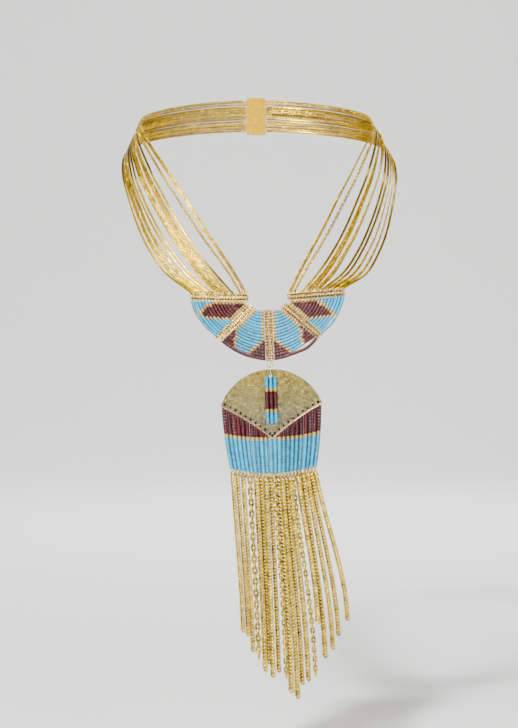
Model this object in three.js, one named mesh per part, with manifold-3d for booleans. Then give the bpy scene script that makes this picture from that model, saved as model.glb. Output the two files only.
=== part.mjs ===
// Bib necklace: ten chains a side, a fan of four beaded panels between five link bars,
// and a hammered half-moon pendant with a curtain of seed beads and a chain fringe.
// Millimetres, +Z up, the front faces -Y. The origin is the middle of the clasp's inner
// face, where the loop lies on the nape.
import * as THREE from "three";
import { mergeVertices } from "three/addons/utils/BufferGeometryUtils.js";
import Module from "manifold-3d";

const wasm = await Module();
wasm.setup();

// Clear space between pieces that lie side by side
const GAP = 0.3;

// Clasp
const CLASP_LENGTH = 12;
const CLASP_MARGIN = 2.15;
const CLASP_THICKNESS = 3.2;
const CLASP_CORNER = 2;

// Loop at its widest point, for the innermost and the outermost chain
const SIDE_INNER_OUT = 65.5;
const SIDE_INNER_FORWARD = 52;
const SIDE_INNER_DROP = 13.5;
const SIDE_OUTER_OUT = 74.5;
const SIDE_OUTER_FORWARD = 44;
const SIDE_OUTER_DROP = 29;

// Front of the loop: an elliptical form that widens and comes forward as it goes down
const FORM_HALF_WIDTH = 66;
const FORM_WIDENING = 0.47;
const FORM_REACH = 44.7;
const FORM_REACH_GROWTH = 0.33;
const MIDDLE_LEAN = 0.061;

// Straight stretch of each chain into the clasp
const CLASP_LEG = 5;

// Bib: a fan in a plane of its own, with its centre at the group's origin
const BIB_FORWARD = 127.1;
const BIB_DROP = 111.4;
const BIB_TILT = 15;
const BIB_TURN = 1.9;
const BEAD_ROWS = 16;
const BEAD_ROW_THICKNESS = 1.7;
const ROW_BOW = 0.08;
const BAR_WIDTH = 4.2;
const BAR_THICKNESS = 2;
const BAR_RIBS = 3;
const CENTRE_BAR_INNER_DROP = 11.7;
const CENTRE_BAR_OUTER_DROP = 38.2;
const DIAGONAL_BAR_INNER_OUT = 7.9;
const DIAGONAL_BAR_INNER_DROP = 9.5;
const DIAGONAL_BAR_OUTER_OUT = 25.6;
const DIAGONAL_BAR_OUTER_DROP = 26.3;
const END_BAR_INNER_OUT = 10;
const END_BAR_INNER_DROP = 5;
const END_BAR_OUTER_OUT = 39;
const END_BAR_OUTER_DROP = 3.6;
const END_PANEL_START = 0.05;

// Rings that carry the pendant, which hangs turned a little to the wearer's left
const PENDANT_TURN = 1.8;
const WIRE = 0.6;
const LINK_PLAY = 0.2;
const BIB_RING_RADIUS = 1.4;
const PENDANT_RING_RADIUS = 2.4;

// Pendant plate
const PLATE_RADIUS = 27;
const PLATE_THICKNESS = 0.8;
const PLATE_CORNER_RISE = 9.2;
const PLATE_TIP_DROP = 8.2;
const PLATE_EDGE_BOW = 2.3;
const HANG_HOLE_RADIUS = 0.85;
const HANG_HOLE_INSET = 3.3;
const LACING_HOLE_RADIUS = 0.5;
const LACING_HOLE_INSET = 1.7;
const LACING_HOLES_A_SIDE = 10;
const TIP_HOLE_INSET_SHARE = 1.3;

// Bead work on the pendant
const SEED_BEAD = 2.1;
const ORNAMENT_COLUMNS = 3;
const ORNAMENT_LENGTH = 23.4;
const CURTAIN_STRANDS = 22;
const CURTAIN_CORNER_INSET = 0.384;
const CURTAIN_BOTTOM_WIDTH = 43.5;
const CURTAIN_DROP = 25;
const CURTAIN_SAG = 2.9;
const CURTAIN_TAPER_POWER = 1.7;
const CURTAIN_CLEARANCE = 0.42;

// Fringe
const CARRIER_OVERHANG = 0.25;
const CARRIER_HEIGHT = 3;
const CARRIER_THICKNESS = 2.2;
const CARRIER_LINKS = 14;
const CARRIER_RIBS = 2;
const FRINGE_LENGTH = 109;
const FRINGE_LAYER_DEPTH = 0.7;
const FRINGE_ROOT = 1.2;

// Facets
const CHAIN_SIDES = 8;
const CHAIN_STEPS = 18;
const RING_STEPS = 16;
const EYE_STEPS = 6;
const WIRE_SIDES = 6;
const FRINGE_SIDES = 6;
const FRINGE_STEPS = 5;
const PANEL_SECTIONS = 4;
const CURTAIN_SECTIONS = 4;
const PLATE_ARC_STEPS = 20;
const PLATE_EDGE_STEPS = 6;
const HOLE_SIDES = 8;

// Routes of the chains of one side, the innermost first. bar is where a chain meets the end
// bar, out from the fan's centre. spread is how far out it lies from the middle line at each
// of ROUTE_DROPS, the distances below the clasp.
const ROUTE_DROPS = [103, 91, 80, 63, 45.5];
const CHAINS = [
  { width: 1.5, bar: 11.3, spread: [17.0, 24.1, 30.8, 40.2, 50.3] },
  { width: 1.5, bar: 13.6, spread: [19.7, 27.7, 34.6, 44.3, 54.0] },
  { width: 1.3, bar: 17.7, spread: [26.9, 35.6, 42.2, 50.8, 58.8] },
  { width: 2.4, bar: 20.9, spread: [30.3, 38.8, 45.3, 53.8, 61.5] },
  { width: 2.5, bar: 24.8, spread: [34.4, 42.5, 49.1, 57.6, 65.1] },
  { width: 1.3, bar: 27.8, spread: [39.7, 48.5, 54.6, 62.2, 68.0] },
  { width: 1.3, bar: 30.1, spread: [42.2, 50.7, 56.7, 64.2, 69.9] },
  { width: 1.6, bar: 32.7, spread: [45.4, 53.9, 59.8, 66.3, 71.7] },
  { width: 1.7, bar: 35.6, spread: [48.8, 57.1, 62.5, 68.6, 73.4] },
  { width: 1.3, bar: 38.2, spread: [51.8, 59.9, 65.1, 70.6, 75.0] },
];

// Angles behind the widest point at which a route has a point, in degrees
const BACK_ANGLES = [30, 60];

// Chains of the fringe from left to right. top is the place on the carrier, from -1 to 1,
// lean and drop are the tip's sideways travel and depth as shares of FRINGE_LENGTH, and
// layer is in front (-1) or behind (1).
const FRINGE = [
  { top: -0.93, lean: 0.025, drop: 0.69, width: 1.9, layer: -1 },
  { top: -0.82, lean: 0.025, drop: 0.71, width: 1.9, layer: 1 },
  { top: -0.69, lean: 0.02, drop: 0.78, width: 2.0, layer: -1 },
  { top: -0.54, lean: 0.015, drop: 0.815, width: 2.6, layer: 1 },
  { top: -0.4, lean: 0.015, drop: 0.87, width: 2.2, layer: -1 },
  { top: -0.29, lean: 0.01, drop: 0.84, width: 2.0, layer: 1 },
  { top: -0.18, lean: 0.005, drop: 0.9, width: 2.4, layer: -1 },
  { top: -0.07, lean: 0.01, drop: 0.88, width: 2.0, layer: 1 },
  { top: 0.02, lean: 0.025, drop: 0.905, width: 2.2, layer: -1 },
  { top: 0.1, lean: 0.03, drop: 0.975, width: 2.6, layer: 1 },
  { top: 0.19, lean: 0.04, drop: 1.0, width: 2.2, layer: -1 },
  { top: 0.28, lean: 0.045, drop: 0.94, width: 2.0, layer: 1 },
  { top: 0.37, lean: 0.055, drop: 0.92, width: 2.2, layer: -1 },
  { top: 0.44, lean: 0.075, drop: 0.905, width: 2.2, layer: 1 },
  { top: 0.55, lean: 0.07, drop: 0.66, width: 2.4, layer: -1 },
  { top: 0.67, lean: 0.075, drop: 0.82, width: 2.2, layer: 1 },
  { top: 0.77, lean: 0.09, drop: 0.78, width: 2.0, layer: -1 },
  { top: 0.86, lean: 0.1, drop: 0.72, width: 2.0, layer: 1 },
  { top: 0.95, lean: 0.125, drop: 0.65, width: 2.0, layer: -1 },
];

const finish = {
  yellowGold: { color: 0xc99b35, roughness: 0.3, metalness: 1 },
  paleGold: { color: 0xd9be7a, roughness: 0.32, metalness: 1 },
  roseGold: { color: 0xe0bf8c, roughness: 0.34, metalness: 1 },
  hammeredBrass: { color: 0xc1b58c, roughness: 0.4, metalness: 1 },
  turquoiseBeads: { color: 0x77c6dd, roughness: 0.35, metalness: 0 },
  maroonBeads: { color: 0x5a1218, roughness: 0.2, metalness: 0 },
};

function rad(degrees) {
  return (degrees * Math.PI) / 180;
}

function lerp(a, b, t) {
  return a + (b - a) * t;
}

// Adds a named mesh of its own material to a group.
function addPiece(group, name, geometry, material) {
  const mesh = new THREE.Mesh(geometry, new THREE.MeshStandardMaterial(material));
  mesh.name = name;
  group.add(mesh);
  return mesh;
}

// A regular polygon as a shape, for wires and chains.
function roundSection(radius, sides) {
  const points = [];
  for (let i = 0; i < sides; i++) {
    const angle = ((i + 0.5) / sides) * 2 * Math.PI;
    points.push(new THREE.Vector2(radius * Math.cos(angle), radius * Math.sin(angle)));
  }
  return new THREE.Shape(points);
}

// A tube of a chain's or wire's outer size along a curve.
function tube(curve, width, sides, steps) {
  const options = { extrudePath: curve, steps, bevelEnabled: false };
  return new THREE.ExtrudeGeometry(roundSection(width / 2, sides), options);
}

// A closed mesh from two sheets of points that face each other, front[row][column] and
// back[row][column], turned so that its faces point out.
function thickSheet(front, back) {
  const rows = front.length;
  const columns = front[0].length;
  const points = [...front.flat(), ...back.flat()];
  const at = (side, row, column) => (side * rows + row) * columns + column;
  const index = [];
  const quad = (a, b, c, d) => index.push(a, b, c, a, c, d);
  for (let r = 0; r < rows - 1; r++) {
    for (let c = 0; c < columns - 1; c++) {
      quad(at(0, r, c), at(0, r, c + 1), at(0, r + 1, c + 1), at(0, r + 1, c));
      quad(at(1, r, c), at(1, r + 1, c), at(1, r + 1, c + 1), at(1, r, c + 1));
    }
    const last = columns - 1;
    quad(at(0, r, 0), at(0, r + 1, 0), at(1, r + 1, 0), at(1, r, 0));
    quad(at(1, r, last), at(1, r + 1, last), at(0, r + 1, last), at(0, r, last));
  }
  for (let c = 0; c < columns - 1; c++) {
    const last = rows - 1;
    quad(at(1, 0, c), at(1, 0, c + 1), at(0, 0, c + 1), at(0, 0, c));
    quad(at(0, last, c), at(0, last, c + 1), at(1, last, c + 1), at(1, last, c));
  }
  if (enclosedVolume(points, index) < 0) index.reverse();
  const geometry = new THREE.BufferGeometry().setFromPoints(points);
  geometry.setIndex(index);
  return geometry;
}

// Volume inside a closed mesh, negative where its faces point in.
function enclosedVolume(points, index) {
  let volume = 0;
  for (let i = 0; i < index.length; i += 3) {
    const [a, b, c] = [points[index[i]], points[index[i + 1]], points[index[i + 2]]];
    volume += a.dot(new THREE.Vector3().crossVectors(b, c)) / 6;
  }
  return volume;
}

// Where a rib's outline has a point, as a share of its width, and how far it stands out
const RIB_POINTS = [
  { at: 0, height: 0.6 },
  { at: 0.27, height: 1 },
  { at: 0.73, height: 1 },
];

// A sheet of ribs that lie side by side: place(across, along) gives the point of the sheet's
// middle plane, with both values from 0 to 1, and the ribs run along it.
function ribbedSheet(ribs, sections, thickness, place) {
  const profile = [];
  for (let rib = 0; rib < ribs; rib++) {
    for (const point of RIB_POINTS) {
      profile.push({ across: (rib + point.at) / ribs, height: point.height });
    }
  }
  profile.push({ across: 1, height: RIB_POINTS[0].height });
  const sheets = [-1, 1].map((side) => {
    const rows = [];
    for (let s = 0; s < sections; s++) {
      rows.push(
        profile.map(({ across, height }) => {
          const point = place(across, s / (sections - 1));
          return new THREE.Vector3(point.x, (side * height * thickness) / 2, point.y);
        }),
      );
    }
    return rows;
  });
  return thickSheet(sheets[0], sheets[1]);
}

function toSolid(geometry) {
  const bare = geometry.clone();
  bare.deleteAttribute("normal");
  bare.deleteAttribute("uv");
  const merged = mergeVertices(bare, 1e-4);
  const mesh = new wasm.Mesh({
    numProp: 3,
    vertProperties: new Float32Array(merged.attributes.position.array),
    triVerts: new Uint32Array(merged.index.array),
  });
  return new wasm.Manifold(mesh);
}

function fromSolid(solid) {
  const mesh = solid.getMesh();
  const geometry = new THREE.BufferGeometry();
  geometry.setAttribute("position", new THREE.BufferAttribute(mesh.vertProperties, 3));
  geometry.setIndex(new THREE.BufferAttribute(mesh.triVerts, 1));
  return geometry;
}

// Joins overlapping geometries into one closed body.
function fused(geometries) {
  const solids = geometries.map(toSolid);
  return fromSolid(solids.reduce((whole, next) => whole.add(next)));
}

// Bib bars: each from its inner end to its outer end in the fan's plane, left to right
function barLine(side, innerOut, innerDrop, outerOut, outerDrop) {
  return {
    inner: new THREE.Vector2(side * innerOut, -innerDrop),
    outer: new THREE.Vector2(side * outerOut, -outerDrop),
  };
}

function endBarLine(side) {
  return barLine(
    side, END_BAR_INNER_OUT, END_BAR_INNER_DROP, END_BAR_OUTER_OUT, END_BAR_OUTER_DROP,
  );
}

function diagonalBarLine(side) {
  return barLine(
    side,
    DIAGONAL_BAR_INNER_OUT,
    DIAGONAL_BAR_INNER_DROP,
    DIAGONAL_BAR_OUTER_OUT,
    DIAGONAL_BAR_OUTER_DROP,
  );
}

const centreBarLine = barLine(0, 0, CENTRE_BAR_INNER_DROP, 0, CENTRE_BAR_OUTER_DROP);
const bars = [
  { name: "bar_left_end", line: endBarLine(-1) },
  { name: "bar_left", line: diagonalBarLine(-1) },
  { name: "bar_centre", line: centreBarLine },
  { name: "bar_right", line: diagonalBarLine(1) },
  { name: "bar_right_end", line: endBarLine(1) },
];

// A point beside a bar, at a share of its length and a distance out towards another point.
function besideBar(line, share, distance, towards) {
  const along = line.outer.clone().sub(line.inner).normalize();
  const normal = new THREE.Vector2(-along.y, along.x);
  const point = line.inner.clone().lerp(line.outer, share);
  const sign = Math.sign(towards.clone().sub(point).dot(normal));
  return point.addScaledVector(normal, sign * distance);
}

function barGeometry(line) {
  const along = line.outer.clone().sub(line.inner).normalize();
  const normal = new THREE.Vector2(-along.y, along.x);
  return ribbedSheet(BAR_RIBS, 2, BAR_THICKNESS, (across, share) =>
    line.inner
      .clone()
      .lerp(line.outer, share)
      .addScaledVector(normal, (across - 0.5) * BAR_WIDTH),
  );
}

// Rows of beads from one bar to the next, each bowed outwards by a share of its length.
function panelGeometry(first, second, start) {
  const middle = (line) => line.inner.clone().lerp(line.outer, 0.5);
  const reach = BAR_WIDTH / 2 + GAP;
  return ribbedSheet(BEAD_ROWS, PANEL_SECTIONS, BEAD_ROW_THICKNESS, (across, along) => {
    const share = lerp(start, 1, across);
    const from = besideBar(first, share, reach, middle(second));
    const to = besideBar(second, share, reach, middle(first));
    const chord = to.clone().sub(from);
    const outwards = new THREE.Vector2(chord.y, -chord.x);
    if (outwards.dot(from) < 0) outwards.negate();
    return from
      .clone()
      .lerp(to, along)
      .addScaledVector(outwards, 4 * ROW_BOW * along * (1 - along));
  });
}

const necklace = new THREE.Group();

const bib = new THREE.Group();
bib.position.set(middleAt(-BIB_DROP), -BIB_FORWARD, -BIB_DROP);
bib.rotation.set(-rad(BIB_TILT), -rad(BIB_TURN), 0);
necklace.add(bib);
bib.updateMatrixWorld(true);

// Bottom of the centre bar, where the pendant hangs
const foot = bib.localToWorld(new THREE.Vector3(0, 0, -CENTRE_BAR_OUTER_DROP));
const pendant = new THREE.Group();
pendant.position.copy(foot);
pendant.rotation.y = -rad(PENDANT_TURN);
necklace.add(pendant);

// Heights below the foot of the bar. Each link rests in the next with LINK_PLAY between them.
const eyeRadius = WIRE + LINK_PLAY;
const eyeCentreZ = -(WIRE / 2 + LINK_PLAY * 2);
const bibRingZ = eyeCentreZ - BIB_RING_RADIUS;
const bibRingFootZ = bibRingZ - BIB_RING_RADIUS;
const pendantRingZ = bibRingFootZ + WIRE + LINK_PLAY - PENDANT_RING_RADIUS;
const pendantRingFootZ = pendantRingZ - PENDANT_RING_RADIUS;
const hangHoleFlat = HANG_HOLE_RADIUS * Math.cos(Math.PI / HOLE_SIDES);
const hangHoleZ = pendantRingFootZ + WIRE / 2 + GAP - hangHoleFlat;
const plateTopZ = hangHoleZ + HANG_HOLE_INSET;
const plateCentreZ = plateTopZ - PLATE_RADIUS;
const plateTipZ = plateCentreZ - PLATE_TIP_DROP;
const plateCornerZ = plateCentreZ + PLATE_CORNER_RISE;
const plateCornerX = Math.sqrt(PLATE_RADIUS ** 2 - PLATE_CORNER_RISE ** 2);

// The necklace's middle line leans to the wearer's left as it goes down from the neck.
function middleAt(z) {
  return MIDDLE_LEAN * Math.max(0, -z - SIDE_INNER_DROP);
}

// Depth of the loop's front form at a distance out from the middle line and a height.
function formDepth(out, z) {
  const fall = -z - SIDE_INNER_DROP;
  const halfWidth = FORM_HALF_WIDTH + FORM_WIDENING * fall;
  const reach = FORM_REACH + FORM_REACH_GROWTH * fall;
  return -SIDE_INNER_FORWARD - reach * Math.sqrt(1 - (out / halfWidth) ** 2);
}

// Places of the chains side by side, as shares from the innermost (0) to the outermost (1),
// with equal gaps between them.
function sideBySide(chains, gap) {
  const places = [0];
  for (let i = 1; i < chains.length; i++) {
    places.push(places[i - 1] + (chains[i - 1].width + chains[i].width) / 2 + gap);
  }
  const total = places[places.length - 1];
  return { total, shares: places.map((place) => place / total) };
}

const ribbon = sideBySide(CHAINS, GAP);
const claspHeight = ribbon.total + 2 * CLASP_MARGIN;

// Route of one chain from the end bar up the front, round the neck and to the clasp.
function chainCurve(chain, share, side) {
  const line = endBarLine(side);
  const onBar = (chain.bar - END_BAR_INNER_OUT) / (END_BAR_OUTER_OUT - END_BAR_INNER_OUT);
  const seat = besideBar(line, onBar, BAR_WIDTH / 2, new THREE.Vector2(side * chain.bar, 1));
  const seatPoint = bib.localToWorld(new THREE.Vector3(seat.x, 0, seat.y));
  const up = new THREE.Vector3(0, 0, 1).transformDirection(bib.matrixWorld);
  const points = ROUTE_DROPS.map((drop, i) => {
    const out = chain.spread[i];
    return new THREE.Vector3(middleAt(-drop) + side * out, formDepth(out, -drop), -drop);
  });
  const firstLeg = points[0].clone().sub(seatPoint).normalize();
  const lift = GAP + (chain.width / 2) * firstLeg.cross(up).length();
  points.unshift(seatPoint.addScaledVector(up, lift));
  const widest = new THREE.Vector3(
    lerp(SIDE_INNER_OUT, SIDE_OUTER_OUT, share),
    -lerp(SIDE_INNER_FORWARD, SIDE_OUTER_FORWARD, share),
    -lerp(SIDE_INNER_DROP, SIDE_OUTER_DROP, share),
  );
  const nape = new THREE.Vector3(
    CLASP_LENGTH / 2 + GAP,
    CLASP_THICKNESS / 2,
    (0.5 - share) * ribbon.total,
  );
  const lean = middleAt(widest.z);
  points.push(new THREE.Vector3(lean + side * widest.x, widest.y, widest.z));
  for (const angle of BACK_ANGLES) {
    const turned = Math.sin(rad(angle));
    points.push(
      new THREE.Vector3(
        lean * (1 - turned) + side * widest.x * Math.cos(rad(angle)),
        lerp(widest.y, nape.y, turned),
        lerp(widest.z, nape.z, turned),
      ),
    );
  }
  points.push(new THREE.Vector3(side * (nape.x + CLASP_LEG), nape.y, nape.z));
  points.push(new THREE.Vector3(side * nape.x, nape.y, nape.z));
  return new THREE.CatmullRomCurve3(points);
}

function addChains() {
  for (const [side, label] of [[-1, "left"], [1, "right"]]) {
    CHAINS.forEach((chain, i) => {
      const curve = chainCurve(chain, ribbon.shares[i], side);
      const name = `neck_chain_${label}_${String(i + 1).padStart(2, "0")}`;
      const geometry = tube(curve, chain.width, CHAIN_SIDES, CHAIN_STEPS);
      addPiece(necklace, name, geometry, finish.yellowGold);
    });
  }
}

// The clasp is one plain bar with rounded corners, a little taller than the ten chains.
function addClasp() {
  const [x, z, corner] = [CLASP_LENGTH / 2, claspHeight / 2, CLASP_CORNER];
  const outline = new THREE.Shape();
  outline.absarc(x - corner, z - corner, corner, 0, Math.PI / 2);
  outline.absarc(-x + corner, z - corner, corner, Math.PI / 2, Math.PI);
  outline.absarc(-x + corner, -z + corner, corner, Math.PI, 1.5 * Math.PI);
  outline.absarc(x - corner, -z + corner, corner, 1.5 * Math.PI, 2 * Math.PI);
  const options = { depth: CLASP_THICKNESS, bevelEnabled: false, curveSegments: 3 };
  const geometry = new THREE.ExtrudeGeometry(outline, options);
  const clasp = addPiece(necklace, "clasp", geometry, finish.yellowGold);
  clasp.rotation.x = Math.PI / 2;
  clasp.position.y = CLASP_THICKNESS;
}

// Wire eye under the centre bar, upright across the bib: a half loop with two short legs.
function eyeGeometry() {
  const points = [new THREE.Vector3(0, -eyeRadius, WIRE)];
  for (let i = 0; i <= EYE_STEPS; i++) {
    const angle = Math.PI + (i / EYE_STEPS) * Math.PI;
    points.push(
      new THREE.Vector3(0, eyeRadius * Math.cos(angle), eyeCentreZ + eyeRadius * Math.sin(angle)),
    );
  }
  points.push(new THREE.Vector3(0, eyeRadius, WIRE));
  const curve = new THREE.CatmullRomCurve3(points);
  const toBib = bib.matrixWorld.clone().invert().multiply(pendant.matrixWorld);
  return tube(curve, WIRE, WIRE_SIDES, RING_STEPS).applyMatrix4(toBib);
}

function addBib() {
  pendant.updateMatrixWorld(true);
  for (const { name, line } of bars) {
    const plain = barGeometry(line);
    const geometry = line === centreBarLine ? fused([plain, eyeGeometry()]) : plain;
    addPiece(bib, name, geometry, finish.roseGold);
  }
  for (let i = 0; i < bars.length - 1; i++) {
    const isEnd = i === 0 || i === bars.length - 2;
    const start = isEnd ? END_PANEL_START : 0;
    const geometry = panelGeometry(bars[i].line, bars[i + 1].line, start);
    const material = isEnd ? finish.turquoiseBeads : finish.maroonBeads;
    addPiece(bib, `bead_panel_${i + 1}`, geometry, material);
  }
}

// A ring of round wire in the XZ plane.
function ringGeometry(radius) {
  const section = roundSection(WIRE / 2, WIRE_SIDES).getPoints();
  const outline = section.map((point) => point.add(new THREE.Vector2(radius, 0)));
  outline.push(outline[0].clone());
  return new THREE.LatheGeometry(outline, RING_STEPS);
}

// The first ring lies across the eye, and the second, which holds the plate, across the first.
function addRings() {
  const first = addPiece(pendant, "bib_ring", ringGeometry(BIB_RING_RADIUS), finish.paleGold);
  first.position.z = bibRingZ;
  const second = addPiece(
    pendant, "pendant_ring", ringGeometry(PENDANT_RING_RADIUS), finish.paleGold,
  );
  second.position.z = pendantRingZ;
  second.rotation.z = Math.PI / 2;
}

// One half of the plate's lower edge, from the tip to a corner.
function plateEdge(side) {
  const tip = new THREE.Vector2(0, plateTipZ);
  const corner = new THREE.Vector2(side * plateCornerX, plateCornerZ);
  const control = tip.clone().lerp(corner, 0.5);
  control.y += PLATE_EDGE_BOW;
  return new THREE.QuadraticBezierCurve(tip, control, corner);
}

// Height of the plate's lower edge at a distance from its middle.
function plateEdgeHeight(x) {
  const edge = plateEdge(1);
  const share = Math.min(Math.abs(x) / plateCornerX, 1);
  return edge.getPoint(share).y;
}

function roundHole(x, z, radius) {
  const points = roundSection(radius, HOLE_SIDES).getPoints();
  return new THREE.Path(points.map((point) => point.add(new THREE.Vector2(x, z))));
}

// The half moon: an arc over the top from corner to corner, and two bowed edges to the tip.
function plateOutline() {
  const cornerAngle = Math.asin(PLATE_CORNER_RISE / PLATE_RADIUS);
  const points = [];
  for (let i = 0; i < PLATE_ARC_STEPS; i++) {
    const angle = lerp(cornerAngle, Math.PI - cornerAngle, i / PLATE_ARC_STEPS);
    const x = PLATE_RADIUS * Math.cos(angle);
    points.push(new THREE.Vector2(x, plateCentreZ + PLATE_RADIUS * Math.sin(angle)));
  }
  points.push(...plateEdge(-1).getPoints(PLATE_EDGE_STEPS).reverse());
  points.push(...plateEdge(1).getPoints(PLATE_EDGE_STEPS).slice(1, -1));
  return new THREE.Shape(points);
}

function addPlate() {
  const outline = plateOutline();
  outline.holes.push(roundHole(0, hangHoleZ, HANG_HOLE_RADIUS));
  const tipHoleZ = plateTipZ + LACING_HOLE_INSET * TIP_HOLE_INSET_SHARE;
  outline.holes.push(roundHole(0, tipHoleZ, LACING_HOLE_RADIUS));
  for (const side of [-1, 1]) {
    const edge = plateEdge(side);
    for (let i = 1; i <= LACING_HOLES_A_SIDE; i++) {
      const share = i / (LACING_HOLES_A_SIDE + 0.5);
      const point = edge.getPointAt(share);
      const along = edge.getTangentAt(share);
      const inward = new THREE.Vector2(-side * along.y, side * along.x);
      point.addScaledVector(inward, LACING_HOLE_INSET);
      outline.holes.push(roundHole(point.x, point.y, LACING_HOLE_RADIUS));
    }
  }
  const options = { depth: PLATE_THICKNESS, bevelEnabled: false };
  const geometry = new THREE.ExtrudeGeometry(outline, options);
  const plate = addPiece(pendant, "pendant_plate", geometry, finish.hammeredBrass);
  plate.rotation.x = Math.PI / 2;
  plate.position.y = PLATE_THICKNESS / 2;
}

// Three upright columns of beads on the plate's front, under the pendant ring.
function addOrnament() {
  const top = pendantRingFootZ - WIRE / 2 - GAP;
  const width = ORNAMENT_COLUMNS * SEED_BEAD;
  const geometry = ribbedSheet(ORNAMENT_COLUMNS, 2, SEED_BEAD, (across, along) =>
    new THREE.Vector2((across - 0.5) * width, top - along * ORNAMENT_LENGTH),
  );
  const beads = addPiece(pendant, "plate_beads", geometry, finish.maroonBeads);
  beads.position.y = -(PLATE_THICKNESS / 2 + GAP + SEED_BEAD / 2);
}

// The curtain's top runs from corner to corner of the plate, and the carrier runs a little past
// the curtain's foot.
const curtainTopWidth = 2 * (plateCornerX - CURTAIN_CORNER_INSET);
const carrierWidth = CURTAIN_BOTTOM_WIDTH + 2 * CARRIER_OVERHANG;

// Height of the curtain's lower edge, which sags to its middle.
function curtainFootHeight(x) {
  const share = x / (CURTAIN_BOTTOM_WIDTH / 2);
  const middle = plateCentreZ - CURTAIN_DROP;
  return middle + CURTAIN_SAG * share * share;
}

// Strands of seed beads from just under the plate's edge to the carrier. They hang straight
// at first and then draw together.
function addCurtain() {
  const strands = (across, along) => {
    const topX = (across - 0.5) * curtainTopWidth;
    const footX = (across - 0.5) * CURTAIN_BOTTOM_WIDTH;
    const drawn = along ** CURTAIN_TAPER_POWER;
    const top = plateEdgeHeight(topX) - CURTAIN_CLEARANCE;
    return new THREE.Vector2(lerp(topX, footX, drawn), lerp(top, curtainFootHeight(footX), along));
  };
  const geometry = ribbedSheet(CURTAIN_STRANDS, CURTAIN_SECTIONS, SEED_BEAD, strands);
  addPiece(pendant, "bead_curtain", geometry, finish.turquoiseBeads);
}

// Sideways travel of a fringe chain down its length: slow at the carrier and at the tip.
function fringeEase(t) {
  return 0.5 * Math.sin((t * Math.PI) / 2) + 0.5 * t * t * (3 - 2 * t);
}

function fringeChain({ top, lean, drop, width, layer }) {
  const topX = (top * carrierWidth) / 2;
  const topZ = curtainFootHeight(topX) - GAP - CARRIER_HEIGHT + FRINGE_ROOT;
  const tipZ = plateCentreZ - CURTAIN_DROP - GAP - CARRIER_HEIGHT - drop * FRINGE_LENGTH;
  const points = [];
  for (let i = 0; i <= FRINGE_STEPS; i++) {
    const t = i / FRINGE_STEPS;
    const x = topX + fringeEase(t) * lean * FRINGE_LENGTH;
    points.push(new THREE.Vector3(x, layer * FRINGE_LAYER_DEPTH, lerp(topZ, tipZ, t)));
  }
  return tube(new THREE.CatmullRomCurve3(points), width, FRINGE_SIDES, FRINGE_STEPS);
}

// The carrier band with every chain of the fringe grown into its lower edge.
function addFringe() {
  const place = (across, along) => {
    const x = (along - 0.5) * carrierWidth;
    return new THREE.Vector2(x, curtainFootHeight(x) - GAP - across * CARRIER_HEIGHT);
  };
  const carrier = ribbedSheet(CARRIER_RIBS, CARRIER_LINKS, CARRIER_THICKNESS, place);
  const geometry = fused([carrier, ...FRINGE.map(fringeChain)]);
  addPiece(pendant, "fringe", geometry, finish.paleGold);
}

addClasp();
addChains();
addBib();
addRings();
addPlate();
addOrnament();
addCurtain();
addFringe();

export default necklace;
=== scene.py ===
"""Bib necklace, dressed: linked chains, beaded panels, hammered plate, bead curtain and fringe.

Sizes are in millimetres in the necklace's own frame and become metres in the meshes.
"""

import logging
from collections.abc import Sequence
from dataclasses import dataclass, field
from enum import Enum

import bmesh
import bpy
import numpy as np
from mathutils import Matrix, Vector


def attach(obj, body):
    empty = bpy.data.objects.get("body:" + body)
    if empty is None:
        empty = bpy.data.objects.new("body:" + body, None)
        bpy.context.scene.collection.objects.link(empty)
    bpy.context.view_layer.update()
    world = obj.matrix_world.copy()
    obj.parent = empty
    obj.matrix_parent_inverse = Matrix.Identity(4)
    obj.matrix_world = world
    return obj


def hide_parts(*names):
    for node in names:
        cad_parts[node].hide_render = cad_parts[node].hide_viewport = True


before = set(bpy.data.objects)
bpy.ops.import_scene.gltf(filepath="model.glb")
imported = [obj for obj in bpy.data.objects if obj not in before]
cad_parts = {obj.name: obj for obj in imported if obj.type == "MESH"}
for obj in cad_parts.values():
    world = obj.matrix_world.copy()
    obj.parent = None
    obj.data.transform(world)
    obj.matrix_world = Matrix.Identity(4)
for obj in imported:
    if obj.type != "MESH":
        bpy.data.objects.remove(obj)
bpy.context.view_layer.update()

MM = 0.001

# Name of the points' lightness, 0 to 1, which also carries painted light and shade; how far a
# link's wire is painted lighter outside and darker inside; and how far a bead is painted darker at
# its sides
TONE = "tone"
INNER_SHADE = 0.55
SIDE_SHADE = 0.55

# Direction that the front faces, and the one that is up
FRONT = np.array([0.0, -1.0, 0.0])
UP = np.array([0.0, 0.0, 1.0])
TUBE_SIDES = 8

log = logging.getLogger("necklace")


# Lines and surfaces


def unit(vectors: np.ndarray) -> np.ndarray:
    """Vectors of length one along the last axis.

    Args:
        vectors: Any array whose last axis is a direction.

    Returns:
        The same array with each direction divided by its length.
    """
    return vectors / np.linalg.norm(vectors, axis=-1, keepdims=True)


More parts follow.
